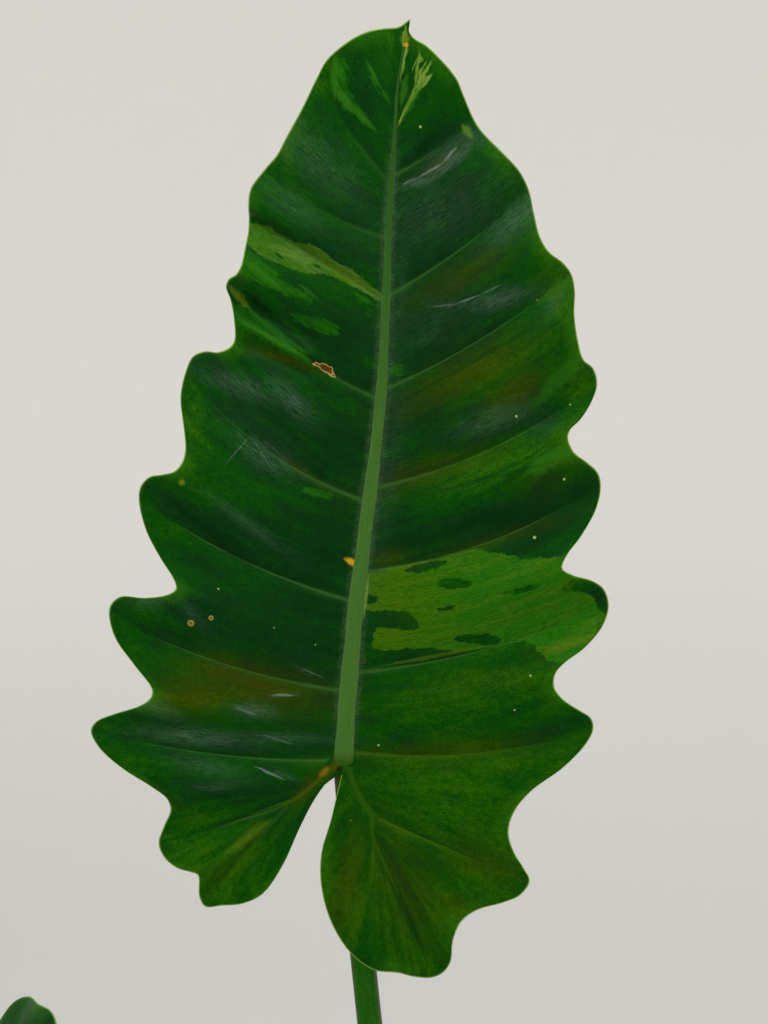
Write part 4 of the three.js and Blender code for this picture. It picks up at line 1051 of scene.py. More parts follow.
def make_stalk(leaf, material):
    """A stalk: round, with a shallow channel down its inner side and a clasping foot."""
    places, ways, lengths = bezier(stalk_course(leaf))
    stoutest = STALK_RADIUS * (STALK_SMALLEST + (1 - STALK_SMALLEST) * leaf["size"])
    sheath = STALK_SHEATH * np.exp(-lengths / STALK_SHEATH_LENGTH)
    radii = stoutest * (STALK_FOOT_SHARE - STALK_TAPER * lengths / lengths[-1] + sheath)
    turns = turns_round(STALK_SIDES)
    away = np.minimum(turns, 2 * math.pi - turns)
    channel = 1 - STALK_GROOVE * np.exp(-(away / STALK_GROOVE_WIDTH) ** 2)
    start = 6 * next(seeded_random(leaf["seed"] * 5 + 2))
    flutes = STALK_FLUTE * np.sin(turns[None, :] * STALK_FLUTES + start)
    waves = STALK_WAVE * np.sin(lengths[:, None] / STALK_WAVE_LENGTH + start)
    radii = radii[:, None] * channel[None, :] * (1 + flutes + waves)
    inward = -np.array(direction(leaf["foot_turn"], 0))
    node = leaf["name"] + "_stalk"
    piece = make_rod(node, places, ways, lengths, radii, inward, leaf["seed"], material)
    place_piece(piece, "stalk", node)


def make_new_leaf(material):
    """The next leaf, rolled up on itself, so its free edge winds up it as a low step."""
    stem_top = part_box("stem")[1].z / MM
    places, ways, lengths = bezier([(x, y, stem_top + above) for x, y, above in NEW_LEAF_COURSE])
    way = (lengths / lengths[-1])[:, None]
    swell = np.sin(math.pi * (NEW_LEAF_FOOT_IN_SWELL + (1 - NEW_LEAF_FOOT_IN_SWELL) * way))
    bulge = np.clip(swell, 0, 1) ** NEW_LEAF_FULLNESS
    wound = ((np.arange(NEW_LEAF_SIDES) / NEW_LEAF_SIDES)[None, :] + NEW_LEAF_TURNS * way) % 1
    rise = smooth(wound / NEW_LEAF_STEP_AT) - smooth((wound - NEW_LEAF_STEP_AT) / (1 - NEW_LEAF_STEP_AT))
    step = NEW_LEAF_INNER + NEW_LEAF_STEP * rise
    radii = NEW_LEAF_RADIUS * (NEW_LEAF_TIP + (1 - NEW_LEAF_TIP) * bulge) * step
    piece = make_rod("new_leaf", places, ways, lengths, radii, (0, -1, 0.1), 9, material)
    place_piece(piece, "new_leaf", "new_leaf")


def turned(profile, steps):
    """A closed shape spun about the vertical axis from radius and height pairs, in millimetres."""
    mesh = bmesh.new()
    verts = [mesh.verts.new((radius * MM, 0, height * MM)) for radius, height in profile]
    edges = [mesh.edges.new(pair) for pair in zip(verts, verts[1:])]
    bmesh.ops.spin(mesh, geom=verts + edges, cent=(0, 0, 0), axis=(0, 0, 1), dvec=(0, 0, 0),
                   angle=2 * math.pi, steps=steps, use_merge=True)
    bmesh.ops.remove_doubles(mesh, verts=mesh.verts[:], dist=SAME_PLACE * MM)
    return mesh


def rounded(profile, radius, steps=4):
    """A profile with each inner corner rounded off by a short curve."""
    corners = [Vector(point) for point in profile]
    points = [profile[0]]
    for before, corner, after in zip(corners, corners[1:], corners[2:]):
        to_before, to_after = before - corner, after - corner
        cut = min(radius, 0.4 * to_before.length, 0.4 * to_after.length)
        start = corner + to_before.normalized() * cut
        end = corner + to_after.normalized() * cut
        for k in range(steps + 1):
            t = k / steps
            point = (1 - t) ** 2 * start + 2 * t * (1 - t) * corner + t ** 2 * end
            points.append((point.x, point.y))
    points.append(profile[-1])
    return points


def pot_inside_at(z):
    return POT_BASE_RADIUS + (POT_TOP_RADIUS - POT_BASE_RADIUS) * min(z, RIM_FOOT) / RIM_FOOT - POT_WALL


def make_pot(material):
    """A clay pot with softly worn edges, a collar rim, and drain holes in its floor."""
    profile = rounded([
        (0, 0), (POT_BASE_RADIUS, 0), (POT_TOP_RADIUS, RIM_FOOT), (RIM_RADIUS - RIM_FLARE, RIM_FOOT),
        (RIM_RADIUS, POT_HEIGHT), (pot_inside_at(POT_HEIGHT), POT_HEIGHT),
        (pot_inside_at(RIM_FOOT), RIM_FOOT), (pot_inside_at(POT_FLOOR), POT_FLOOR), (0, POT_FLOOR),
    ], POT_WORN_EDGE)
    pot = finish_mesh(turned(profile, POT_SIDES), "pot_skin", material)
    for i in range(DRAIN_HOLES):
        place = direction(360 * (i + 0.5) / DRAIN_HOLES, 0) * DRAIN_CIRCLE_RADIUS * MM
        drill = bmesh.new()
        bmesh.ops.create_cone(drill, cap_ends=True, segments=24, radius1=DRAIN_RADIUS * MM,
                              radius2=DRAIN_RADIUS * MM, depth=4 * POT_FLOOR * MM,
                              matrix=Matrix.Translation(place))
        cut_away(pot, drill)
    place_piece(pot, "clay", "pot")


def cut_away(piece, tool_mesh):
    """Cuts a closed shape out of a piece and keeps the result in the piece's mesh."""
    tool = finish_mesh(tool_mesh, "drill", piece.data.materials[0])
    cut = piece.modifiers.new("cut", "BOOLEAN")
    cut.operation = "DIFFERENCE"
    cut.object = tool
    cut.solver = "EXACT"
    seen = piece.evaluated_get(bpy.context.evaluated_depsgraph_get())
    data = bpy.data.meshes.new_from_object(seen)
    piece.modifiers.clear()
    old = piece.data
    piece.data = data
    bpy.data.meshes.remove(old)
    tool_data = tool.data
    bpy.data.objects.remove(tool)
    bpy.data.meshes.remove(tool_data)


def soil_height(x, y):
    from_middle = math.hypot(x, y) / pot_inside_at(SOIL_LEVEL)
    lumps = 0
    for along_x, along_y, start, share in SOIL_WAVES:
        lumps += share * math.sin(along_x * x + along_y * y + start)
    heap = SOIL_HEAP * (1 - from_middle ** 2)
    return SOIL_LEVEL + heap + SOIL_LUMP * lumps * (1 - from_middle ** 4) - SOIL_SINK


def add_crumbs(soil, tone, inside, number, small, large, flat, own_tone, seed):
    """Bits of one kind, strewn over the soil and each a little different."""
    random = seeded_random(seed)
    for _ in range(number):
        far = inside * math.sqrt(next(random)) - large * 0.5
        turn = 2 * math.pi * next(random)
        size = small + (large - small) * next(random) ** 2
        if far < STEM_RADIUS + 0.4 * size:
            continue
        x, y = far * math.cos(turn), far * math.sin(turn)
        place = Vector((x, y, soil_height(x, y) + 0.25 * size * flat)) * MM
        lean = Matrix.Rotation(CRUMB_LEAN * (next(random) - 0.5), 4, "X")
        spin = Matrix.Rotation(2 * math.pi * next(random), 4, "Z")
        shape = Matrix.Diagonal((1, 0.5 + 0.5 * next(random), flat, 1))
        matrix = Matrix.Translation(place) @ lean @ spin @ shape
        made = bmesh.ops.create_icosphere(soil, subdivisions=1, radius=0.5 * size * MM, matrix=matrix)
        shade = own_tone + CRUMB_TONE_SPREAD * (next(random) - 0.5)
        for vert in made["verts"]:
            vert[tone] = shade
            shift = Vector((next(random) - 0.5, next(random) - 0.5, (next(random) - 0.5) * flat))
            vert.co += shift * CRUMB_UNEVENNESS * size * MM


def make_soil(material):
    """Potting mix: a lumpy bed with crumbs, flat bits of bark and white grains lying on it."""
    inside = pot_inside_at(SOIL_LEVEL) - GAP_AT_TOP
    profile = [
        (0, POT_FLOOR + GAP_TO_FLOOR), (pot_inside_at(POT_FLOOR) - GAP_TO_WALL, POT_FLOOR + GAP_TO_FLOOR),
        (pot_inside_at(RIM_FOOT) - GAP_TO_WALL, RIM_FOOT),
    ]
    profile += [(inside * ring / SOIL_RINGS, SOIL_LEVEL) for ring in range(SOIL_RINGS, -1, -1)]
    soil = turned(profile, SOIL_SIDES)
    tone = soil.verts.layers.float.new("tone")
    for vert in soil.verts:
        vert[tone] = SOIL_TONE
        if vert.co.z > (SOIL_LEVEL - 1) * MM:
            x, y = vert.co.x / MM, vert.co.y / MM
            grain = SOIL_GRAIN * math.sin(1.9 * x + 0.7 * y) * math.sin(1.3 * y - 0.6 * x + 1)
            vert.co.z = (soil_height(x, y) + grain) * MM
    for kind in CRUMBS:
        add_crumbs(soil, tone, inside, *kind)
    place_piece(finish_mesh(soil, "soil_bed", material), "soil", "soil")


def make_stem(material):
    """The short stem, ringed with old leaf scars, with small aerial root buds under the rings."""
    low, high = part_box("stem")
    foot, top = low.z / MM, high.z / MM
    clear = SOIL_LEVEL + SOIL_HEAP + 3 * SOIL_LUMP
    profile = [(0, foot), (STEM_RADIUS, foot), (STEM_RADIUS, clear)]
    rings = []
    height = clear + STEM_NODE_SPACING / 2
    while height < top - STEM_CROWN_HEIGHT:
        radius = STEM_RADIUS * (1 - STEM_TAPER * (height - clear) / (top - clear))
        rings.append((height, radius))
        for off, share, more in STEM_NODE:
            profile.append((radius + share * STEM_NODE_SWELL + more, height + off))
        height += STEM_NODE_SPACING
    profile += [(STEM_RADIUS * share, top - below) for share, below in STEM_CROWN]
    stem = turned(rounded(profile, STEM_WORN_EDGE, 2), STEM_SIDES)
    ring_layer = stem.verts.layers.float.new("ring")
    for vert in stem.verts:
        x, y, z = vert.co / MM
        turn = math.atan2(y, x)
        near = min(abs(z - at - STEM_RING_LEAN * math.sin(turn + at)) for at, _ in rings)
        vert[ring_layer] = math.exp(-(near / STEM_RING_WIDTH) ** 2)
        if z > SOIL_LEVEL:
            swell = 1
            for depth, count, rise in STEM_FLUTES:
                swell += depth * math.sin(count * turn + rise * z)
            vert.co.x *= swell
            vert.co.y *= swell
            if z < top - STEM_PLAIN_TOP:
                vert.co.z += STEM_RING_LEAN * math.sin(turn + STEM_RING_TURN * z) * MM
    random = seeded_random(STEM_SEED)
    for ring_height, radius in rings[:STEM_RINGS_WITH_BUDS]:
        for _ in range(STEM_BUDS_PER_RING):
            turn = 360 * next(random)
            place = direction(turn, 0) * radius + Vector((0, 0, ring_height - STEM_BUD_DROP))
            lay = direction(turn, STEM_BUD_PITCH).to_track_quat("Z", "Y").to_matrix().to_4x4()
            matrix = Matrix.Translation(place * MM) @ lay @ Matrix.Diagonal((1, 1, STEM_BUD_STRETCH, 1))
            made = bmesh.ops.create_uvsphere(stem, u_segments=12, v_segments=8,
                                             radius=STEM_BUD_RADIUS * MM, matrix=matrix)
            for vert in made["verts"]:
                vert[ring_layer] = STEM_BUD_TONE
    place_piece(finish_mesh(stem, "stem_skin", material), "stem", "stem")


class Finish:
    """A material's nodes, added step by step before its one shader."""

    def __init__(self, name, roughness, specular):
        self.material = bpy.data.materials.new(name)
        self.material.use_nodes = True
        self.tree = self.material.node_tree
        self.shader = self.tree.nodes["Principled BSDF"]
        self.feed(self.shader, {"Roughness": roughness, "Specular IOR Level": specular})

    def feed(self, node, sockets):
        """Gives a node's sockets their numbers, or links them to other nodes' outputs."""
        for key, value in sockets.items():
            if isinstance(value, bpy.types.NodeSocket):
                self.tree.links.new(value, node.inputs[key])
            else:
                node.inputs[key].default_value = value

    def add(self, kind, sockets, **settings):
        node = self.tree.nodes.new(kind)
        for key, value in settings.items():
            setattr(node, key, value)
        self.feed(node, sockets)
        return node

    def read(self, name, output="Fac"):
        return self.add("ShaderNodeAttribute", {}, attribute_name=name).outputs[output]

    def own_place(self):
        return self.add("ShaderNodeTexCoord", {}).outputs["Object"]

    def facing(self):
        """0 where the surface is seen straight on and 1 where it is seen from its side."""
        return self.add("ShaderNodeLayerWeight", {}).outputs["Facing"]

    def part(self, vector, axis):
        return self.add("ShaderNodeSeparateXYZ", {0: vector}).outputs[axis]

    def number(self, operation, *values):
        return self.add("ShaderNodeMath", dict(enumerate(values)), operation=operation).outputs[0]

    def times(self, one, other):
        return self.number("MULTIPLY", one, other)

    def plus(self, one, other):
        return self.number("ADD", one, other)

    def minus(self, one, other):
        return self.number("SUBTRACT", one, other)

    def times_plus(self, one, factor, more):
        return self.number("MULTIPLY_ADD", one, factor, more)

    def vector(self, operation, one, other, output):
        return self.add("ShaderNodeVectorMath", {0: one, 1: other}, operation=operation).outputs[output]

    def dot(self, vector, way):
        return self.vector("DOT_PRODUCT", vector, way, "Value")

    def distance(self, vector, place):
        return self.vector("DISTANCE", vector, place, "Value")

    def scaled(self, vector, *factors):
        return self.vector("MULTIPLY", vector, factors, 0)

    def ramp(self, value, low, high, start=0, end=1):
        """Goes smoothly from start at low to end at high. Low may be the larger of the two."""
        if low > high:
            low, high, start, end = high, low, end, start
        sockets = {"Value": value, "From Min": low, "From Max": high, "To Min": start, "To Max": end}
        return self.add("ShaderNodeMapRange", sockets, interpolation_type="SMOOTHSTEP").outputs[0]

    def noise(self, vector, scale=1, detail=3, roughness=0.55):
        sockets = {"Vector": vector, "Scale": scale, "Detail": detail, "Roughness": roughness}
        return self.add("ShaderNodeTexNoise", sockets).outputs["Fac"]

    def mix(self, share, under, over):
        return self.add("ShaderNodeMix", {0: share, 6: under, 7: over}, data_type="RGBA").outputs[2]

    def coats(self, colour, *coats):
        """Lays coats over a colour, each by a value, where it begins and is full, strength and colour."""
        for value, low, high, strength, coat in coats:
            colour = self.mix(self.ramp(value, low, high, 0, strength), colour, coat)
        return colour

    def bump(self, height, strength, distance_mm):
        sockets = {"Strength": strength, "Distance": distance_mm * MM, "Height": height}
        self.feed(self.shader, {"Normal": self.add("ShaderNodeBump", sockets).outputs[0]})

    def colour(self, value):
        self.feed(self.shader, {"Base Color": value})
        return self.material


class BladeFinish(Finish):
    """Dark satin green with paler veins, a warmer margin, painted sheen, light and shade, and variegated
    patches.

    Its steps are laid over each other, from the tissue up to the spots, and the under face comes last.
    "plan" is the place on the flat blade, and "lay" the place across the veins and along them.
    """

    def __init__(self):
        super().__init__("leaf_blade", 0.4, 0.3)
        self.shader.inputs["Specular Tint"].default_value = SHEEN_GREEN
        self.lay = self.read("lay", "Vector")
        self.plan = self.read("plan", "Vector")
        self.reach = self.part(self.lay, "Y")
        self.across_plan = self.part(self.plan, "X")
        self.up = self.part(self.plan, "Y")
        self.edge = self.read("edge")
        self.rib = self.read("rib")
        self.clear = self.read("vein")
        self.warm = self.read("warm")
        self.fine = self.noise(self.scaled(self.lay, 1.1, 0.06, 7), 1, 4, 0.65)
        self.streak = self.noise(self.scaled(self.lay, 0.28, 0.03, 3))
        self.cloud = self.noise(self.scaled(self.plan, 0.03, 0.03, 1), 1, 2)
        self.blotch = self.noise(self.scaled(self.lay, 0.16, 0.05, 2), 1, 3, 0.6)
        self.mottle = self.noise(self.scaled(self.plan, 0.35, 0.35, 1), 1, 4, 0.6)
        self.grain = self.noise(self.scaled(self.plan, 1.5, 1.5, 1), 1, 2, 0.6)
        self.scratches = self.noise(self.scaled(self.lay, 3, 0.12, 5), 1, 5, 0.7)
        self.near_tip = self.ramp(self.up, 255, 290)
        self.is_first = self.number("COMPARE", self.part(self.lay, "Z"), 1, 0.5)
        cell = self.read("cell")
        self.share = self.number("FRACT", cell)
        self.off_vein = self.times(self.number("PINGPONG", cell, 0.5), self.read("spacing"))
        self.wobble = self.times_plus(self.mottle, 0.8, -0.4)

    def tissue(self):
        # Painted light: the tissue just below each vein, which faces up towards the light, is made
        # brighter in the tone. The warm and cool marks add painted light and painted shade to the tone as
        # well.
        lit_below_vein = self.times(self.ramp(self.share, 0.6, 0.1), self.ramp(self.reach, 0, 20))
        tone = self.minus(self.plus(self.warm, -TONE_LEVEL), self.read("cool_and_shaded"))
        for value, amount in (
            (self.streak, 1.4), (self.cloud, 0.6), (self.blotch, 1.8), (self.mottle, 1.1),
            (self.grain, 2.2), (self.ramp(self.edge, 26, 2), 0.25), (lit_below_vein, 0.2),
        ):
            tone = self.times_plus(value, amount, tone)
        colour = self.coats(
            DEEP_GREEN, (tone, -0.35, 0.35, 1, LEAF_GREEN), (tone, 0.35, 1.25, 1, WARM_GREEN),
            (tone, -0.2, -0.9, 0.6, SHADE_GREEN),
        )
        olive = self.times(self.read("olive"), self.ramp(self.streak, 0.15, 0.65, 0.35, 1))
        colour = self.mix(self.times(olive, 0.85), colour, OLIVE)
        # Painted light: a yellow-green glow on the raised sinuses of the margin, where they catch the
        # light.
        off_middle = self.number("ABSOLUTE", self.minus(self.share, 0.5))
        glow = self.times(self.ramp(off_middle, 0.3, 0.04), self.ramp(self.edge, 9, 0.5, 0, 0.45))
        return self.mix(glow, colour, PAINTED_GLOW_GREEN)

    def patches(self, colour):
        """Ragged pale and lush patches with dark slits, all streaked along the veins."""
        ragged = self.times_plus(self.fine, 3.6, self.times_plus(self.mottle, 2.4, -3))
        broken = self.times_plus(ragged, 1.4, -0.3)
        ragged = self.times_plus(self.near_tip, -0.4, ragged)
        lush = self.ramp(self.plus(self.read("lush"), broken), -0.4, 0.6)
        lush = self.times(lush, self.ramp(self.fine, 0.3, 0.6, 0.45, 0.95))
        lit = self.times(self.ramp(self.fine, 0.4, 0.6), self.ramp(self.up, 204, 212, 0.3, 1))
        colour = self.mix(lush, colour, self.mix(lit, LUSH_GREEN, BRIGHT_GREEN))
        slits = self.noise(self.scaled(self.lay, 1.5, 0.1, 4), 1, 3, 0.6)
        pale = self.ramp(self.plus(self.read("pale"), ragged), -0.15, 0.3)
        pale = self.times(pale, self.ramp(slits, 0.7, 0.62, 0.55, 0.94))
        low = self.coats(
            LIME, (self.streak, 0.4, 0.58, 1, BRIGHT_GREEN), (self.mottle, 0.45, 0.65, 0.5, BRIGHT_GREEN),
            (self.reach, 60, 10, 0.6, OLIVE_LIME),
        )
        high = self.coats(
            PALE_GREEN, (self.streak, 0.4, 0.56, 1, LIME), (self.across_plan, -28, -36, 0.85, LIME),
            (self.mottle, 0.5, 0.62, 0.6, OLIVE_LIME),
        )
        inner = self.coats(
            low, (self.up, 150, 200, 1, high), (self.fine, 0.46, 0.72, 0.7, LUSH_GREEN),
            (self.fine, 0.4, 0.28, 0.4, PALE_GREEN),
        )
        return self.mix(pale, colour, self.mix(self.near_tip, inner, TIP_PALE)), pale

    def sheen(self, colour):
        """Scratchy painted sheen, grey down beside the midrib, and fine dark and light specks."""
        # Painted sheen: the bloom marks lay a whitish reflection over the tissue, broken by scratches.
        bloom = self.times(self.read("bloom"), self.ramp(self.scratches, 0.38, 0.62, 0, 0.7))
        colour = self.mix(bloom, colour, PAINTED_SHEEN_GREY)
        down = self.ramp(self.mottle, 0.3, 0.7, 0.3, 1)
        for value, bare, full in (
            (self.grain, 0.2, 0.7), (self.up, 290, 255), (self.read("beside"), 2.8, -0.8),
            (self.up, 4, 30),
        ):
            down = self.times(down, self.ramp(value, bare, full))
        colour = self.mix(self.times(down, 0.36), colour, DOWN_GREY)
        speck = self.noise(self.scaled(self.lay, 2.6, 0.35, 2), 1, 3, 0.6)
        colour = self.coats(colour, (speck, 0.62, 0.3, 0.42, SPECK_DARK))
        light = self.times(self.ramp(self.grain, 0.56, 0.8), self.ramp(self.cloud, 0.3, 0.6, 0, 0.35))
        colour = self.mix(light, colour, SPECK_LIGHT)
        freckle = self.noise(self.scaled(self.plan, 1.1, 1.1, 1), 1, 2, 0.5)
        freckle = self.times(self.ramp(freckle, 0.62, 0.76), self.ramp(self.warm, 0.1, 0.5, 0, 0.5))
        return self.mix(freckle, colour, FRECKLE)

    def veins(self, colour):
        """Fine pale veins with a soft halo near the midrib, and the thin pale margin, partly painted
        light.
        """
        half_width = self.ramp(self.reach, 0, 45, 0.95, 0.4)
        off_share = self.number("DIVIDE", self.off_vein, half_width)
        vein = self.times(self.ramp(off_share, 1.3, 0.3), self.clear)
        halo = self.times(self.ramp(self.off_vein, 3, 0, 0, 0.18), self.ramp(self.reach, 35, 4))
        vein_colour = self.mix(self.ramp(self.warm, 0.15, 0.55), VEIN_GREEN, VEIN_WARM)
        colour = self.mix(self.times(halo, self.clear), colour, vein_colour)
        colour = self.mix(self.times(vein, 0.62), colour, vein_colour)
        # The lime rim is partly the leaf's own pale edge and partly painted light on the thin edge of the
        # sheet.
        return self.coats(colour, (self.edge, 0.85, 0.2, 0.75, LIT_MARGIN_LIME)), vein

    def stroke(self, start, end, half_width, strength):
        """Full along a stroke that tapers to both its ends and has a slightly ragged side."""
        begin = Vector((*start, 0))
        run = Vector((*end, 0)) - begin
        across = Vector((-run.y, run.x, 0)).normalized()
        steps = run / run.length_squared
        along = self.minus(self.dot(self.plan, steps), begin.dot(steps))
        uneven = self.times_plus(self.mottle, 1.6 * half_width, -0.8 * half_width - begin.dot(across))
        off = self.number("ABSOLUTE", self.plus(self.dot(self.plan, across), uneven))
        room = self.times(along, self.minus(1, along))
        outside = self.times_plus(room, -4 * half_width, off)
        return self.ramp(outside, 0.2 * half_width, -0.7 * half_width, 0, strength)

    def strokes(self, colour):
        for kind, strokes in STROKES.items():
            worn = self.ramp(self.fine, 0.25, 0.55, 0.55, 1)
            if kind == "sheen":
                worn = self.ramp(self.scratches, 0.34, 0.6, 0.2, 1)
            total = 0.0
            for stroke in strokes:
                total = self.number("MAXIMUM", total, self.stroke(*stroke))
            total = self.times(self.times(total, worn), self.is_first)
            colour = self.mix(total, colour, STROKE_COLOURS[kind])
        return colour

    def ribs(self, colour):
        """A plain midrib, darker towards the tip, and basal ribs whose sides melt into the blade."""
        across = self.number("ABSOLUTE", self.read("across"))
        midrib = self.coats(
            RIB_GREEN, (self.fine, 0.2, 0.8, 1, RIB_DARK), (self.grain, 0.42, 0.8, 0.5, RIB_EDGE),
            (self.grain, 0.5, 0.25, 0.5, RIB_DARK), (self.up, 9, 1, 0.9, OLIVE_RIB),
            (self.up, 110, 280, 1, RIB_UPPER),
        )
        rim = self.times(self.ramp(across, 0.55, 1, 0, 0.45), self.ramp(self.up, 3, 16))
        midrib = self.mix(rim, midrib, RIB_EDGE)
        brown = self.times(self.ramp(self.across_plan, 0, -3), self.ramp(self.reach, 44, 14))
        basal = self.coats(
            self.mix(brown, OLIVE_RIB, BROWN_RIB),
            (self.grain, 0.4, 0.8, 0.5, colour), (across, -0.25, 0.9, 1, colour),
        )
        own = self.coats(basal, (self.rib, 0.6, 0.9, 1, midrib))
        return self.coats(colour, (self.rib, 0.1, 0.3, 1, own))

    def spots(self, colour):
        """Single spots of the large leaf, its scar with a pale rim, and its amber mark."""
        for x, y, radius, kind in SPOTS:
            away = self.plus(self.distance(self.plan, (x, y, 0)), self.wobble)
            mask = self.ramp(away, radius * 1.2, radius * (0.1 if kind in SOFT_SPOTS else 0.7))
            if kind == "ring":
                mask = self.times(mask, self.ramp(away, radius * 0.35, radius * 0.6, 0.35, 1))
            colour = self.mix(self.times(mask, self.is_first), colour, SPOT_COLOURS[kind])
        scar = self.plus(self.read("scar"), self.times_plus(self.mottle, 3.2, -1.6))
        return self.coats(
            colour, (scar, -0.35, -0.05, 0.8, SCAR_RIM), (scar, 0.1, 0.5, 1, SCAR_BROWN),
            (self.read("amber"), -0.7, 0.5, 0.9, AMBER),
        )

    def under_face(self, pale, vein):
        back = self.mix(vein, self.mix(self.fine, BACK_GREEN, BACK_DARK), BACK_VEIN)
        back = self.mix(self.times(pale, 0.7), back, PALE_GREEN)
        return self.coats(back, (self.rib, 0.1, 0.3, 1, BACK_VEIN))

    def made(self):
        colour, pale = self.patches(self.tissue())
        colour, vein = self.veins(self.sheen(colour))
        colour = self.spots(self.ribs(self.strokes(colour)))
        under = self.ramp(self.read("under"), 0.4, 0.6)
        colour = self.mix(under, colour, self.under_face(pale, vein))
        wear = self.times_plus(self.fine, 0.16, self.times_plus(self.mottle, 0.1, 0.3))
        self.feed(self.shader, {"Roughness": self.times_plus(under, 0.15, wear)})
        relief = self.times_plus(self.grain, 0.6, self.times_plus(self.mottle, 0.5, self.fine))
        self.bump(relief, 0.3, 0.22)
        return self.colour(colour)


def stalk_finish(name, green, dark, foot, reddish):
    """Smooth satin green with short pale streaks, painted brownish shade on the sides seen edge-on, dull
    at the foot and reddish under the blade.
    """
    skin = Finish(name, 0.42, 0.3)
    skin.shader.inputs["Specular Tint"].default_value = STALK_SHEEN
    around = skin.read("round", "Vector")
    length = skin.read("length")
    place = skin.add("ShaderNodeCombineXYZ", {
        0: skin.times(skin.part(around, "X"), 5), 1: skin.times(skin.part(around, "Y"), 5),
        2: skin.times_plus(length, 0.06, skin.part(around, "Z")),
    }).outputs[0]
    streak = skin.noise(place, 1.4, 4, 0.6)
    fleck = skin.noise(skin.scaled(place, 1, 1, 4), 2.2, 2)
    skin.bump(streak, 0.3, 0.3)
    return skin.colour(skin.coats(
        green, (streak, 0.3, 0.7, 1, dark), (fleck, 0.64, 0.72, 0.5, FLECK),
        # Painted shade: brownish darkening on the stalk's sides where they are seen edge-on.
        (skin.facing(), 0.26, 0.7, 0.6, EDGE_ON_SHADE_BROWN), (length, 34, 8, 1, foot),
        (skin.read("to_end"), 24, 3, reddish, COLLAR_RED),
    ))


def stem_finish():
    """Green bark that dries to brown, paler on the rings."""
    skin = Finish("stem_bark", 0.6, 0.3)
    place = skin.own_place()
    grain = skin.noise(skin.scaled(place, 260, 260, 90), 1, 5, 0.6)
    patch = skin.noise(place, 45, 3)
    colour = skin.coats(BARK_GREEN, (patch, 0.35, 0.65, 1, BARK_SHADE), (grain, 0.45, 0.75, 1, BARK_DRY))
    skin.bump(grain, 0.5, 0.5)
    return skin.colour(skin.mix(skin.times(skin.read("ring"), 0.8), colour, BARK_RING))


def soil_finish():
    """Dark crumbs, browner bark and white grains, told apart by their tone."""
    skin = Finish("potting_mix", 0.9, 0.2)
    grain = skin.noise(skin.own_place(), 700, 5, 0.7)
    tone = skin.read("tone")
    skin.bump(grain, 0.7, 0.6)
    return skin.colour(skin.coats(
        SOIL_DARK, (tone, 0.1, 0.5, 1, SOIL_BARK), (grain, 0.35, 0.7, 1, SOIL_DUST),
        (tone, 0.75, 0.9, 1, SOIL_WHITE),
    ))


def clay_finish():
    """Unglazed clay: warm and a little blotched, with turning lines and pale mineral bloom low down."""
    skin = Finish("terracotta", 0.85, 0.25)
    place = skin.own_place()
    blotch = skin.noise(place, 14, 4, 0.6)
    grit = skin.noise(place, 900, 3, 0.6)
    lines = skin.noise(skin.scaled(place, 4, 4, 420))
    colour = skin.coats(
        CLAY, (blotch, 0.3, 0.7, 1, CLAY_LIGHT), (lines, 0.4, 0.7, 0.25, CLAY_LINE),
        (grit, 0.58, 0.72, 0.35, CLAY_GRIT),
    )
    salt = skin.times(skin.ramp(skin.part(place, "Z"), 0.09, 0.01), skin.ramp(blotch, 0.45, 0.65, 0, 0.5))
    skin.bump(skin.times_plus(lines, 0.8, grit), 0.35, 0.4)
    return skin.colour(skin.mix(salt, colour, CLAY_SALT))


def floor_finish():
    """Matt and pale, and a little paler where it rises, so that it looks alike from foot to top."""
    skin = Finish("pale_floor", 0.9, 0.1)
    place = skin.own_place()
    soft = skin.noise(place, 0.6, 2)
    rising = skin.ramp(skin.distance(place, (0, 0, 0)), 1.4, 4.8)
    return skin.colour(skin.mix(rising, skin.mix(soft, *FLOOR_NEAR), skin.mix(soft, *FLOOR_FAR)))


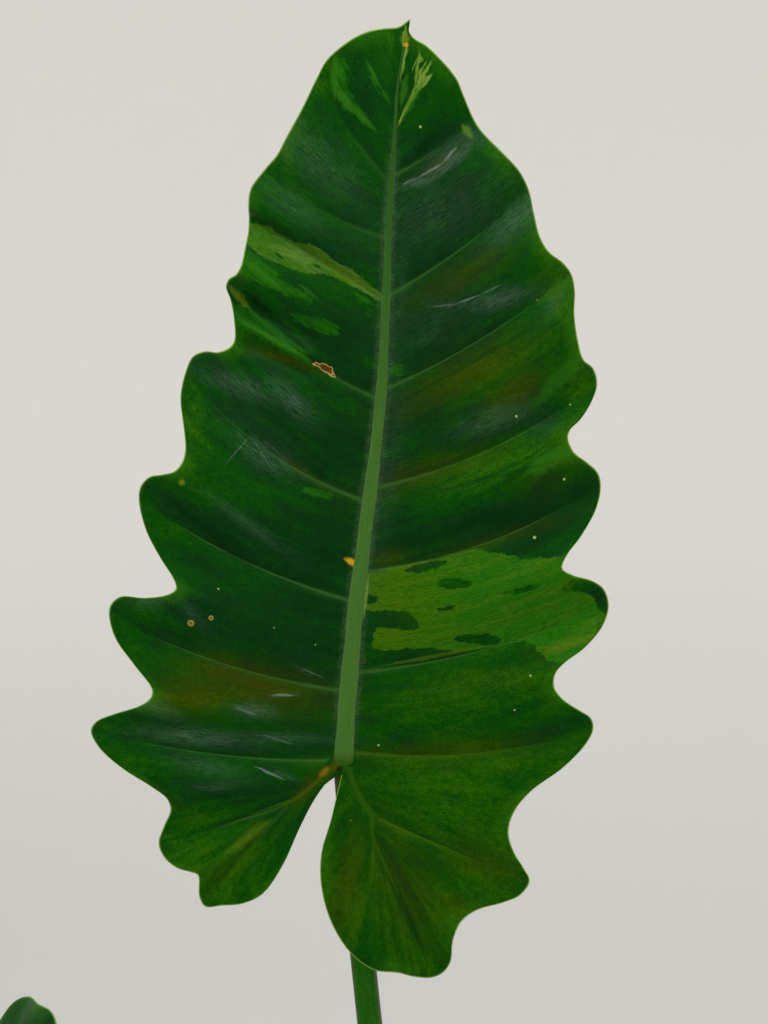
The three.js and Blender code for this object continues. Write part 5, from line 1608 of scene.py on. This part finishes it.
def make_floor():
    """A plain pale floor that sweeps up into a low round wall, so no edge shows from any side."""
    profile = [(radius, 0) for radius in FLOOR_RINGS]
    for k in range(COVE_STEPS + 1):
        turn = math.pi / 2 * k / COVE_STEPS
        radius = FLOOR_RADIUS - COVE_RADIUS * (1 - math.sin(turn))
        profile.append((radius, COVE_RADIUS * (1 - math.cos(turn))))
    profile.append((FLOOR_RADIUS, WALL_HEIGHT))
    profile = [(radius / MM, height / MM) for radius, height in profile]
    floor = finish_mesh(turned(profile, FLOOR_SIDES), "floor", floor_finish())
    floor.data.flip_normals()


def light_studio():
    world = bpy.data.worlds.new("studio")
    world.use_nodes = True
    background = world.node_tree.nodes["Background"]
    background.inputs["Color"].default_value = SKY_COLOUR
    background.inputs["Strength"].default_value = SKY_STRENGTH
    bpy.context.scene.world = world
    for name, (place, aim, size, power, colour) in LIGHTS.items():
        light = bpy.data.lights.new(name, "AREA")
        light.shape = "DISK"
        light.size = size
        light.energy = power
        light.color = colour
        lamp = bpy.data.objects.new(name, light)
        lamp.location = place
        lamp.rotation_euler = (Vector(aim) - Vector(place)).to_track_quat("-Z", "Y").to_euler()
        bpy.context.scene.collection.objects.link(lamp)


def add_camera():
    """Looks at the large leaf square on, from a little above level, as the photograph does."""
    data = bpy.data.cameras.new("photo_view")
    data.lens = CAMERA_LENS
    data.sensor_fit = "VERTICAL"
    data.sensor_height = CAMERA_SENSOR_HEIGHT
    camera = bpy.data.objects.new("photo_view", data)
    towards = Vector((0, -math.cos(CAMERA_TILT), math.sin(CAMERA_TILT)))
    camera.location = CAMERA_TARGET + towards * CAMERA_DISTANCE
    camera.rotation_euler = (math.pi / 2 - CAMERA_TILT, 0, 0)
    bpy.context.scene.collection.objects.link(camera)
    bpy.context.scene.camera = camera


add_camera()
light_studio()
bpy.context.scene.view_settings.view_transform = "Standard"
make_floor()
make_pot(clay_finish())
make_soil(soil_finish())
make_stem(stem_finish())
make_new_leaf(stalk_finish("new_leaf_green", *NEW_LEAF_COLOURS, 0))
stalk_green = stalk_finish("stalk_green", *STALK_COLOURS, 0.85)
blade_green = BladeFinish().made()
for each_leaf in LEAVES:
    make_stalk(each_leaf, stalk_green)
    make_blade(each_leaf, blade_green)
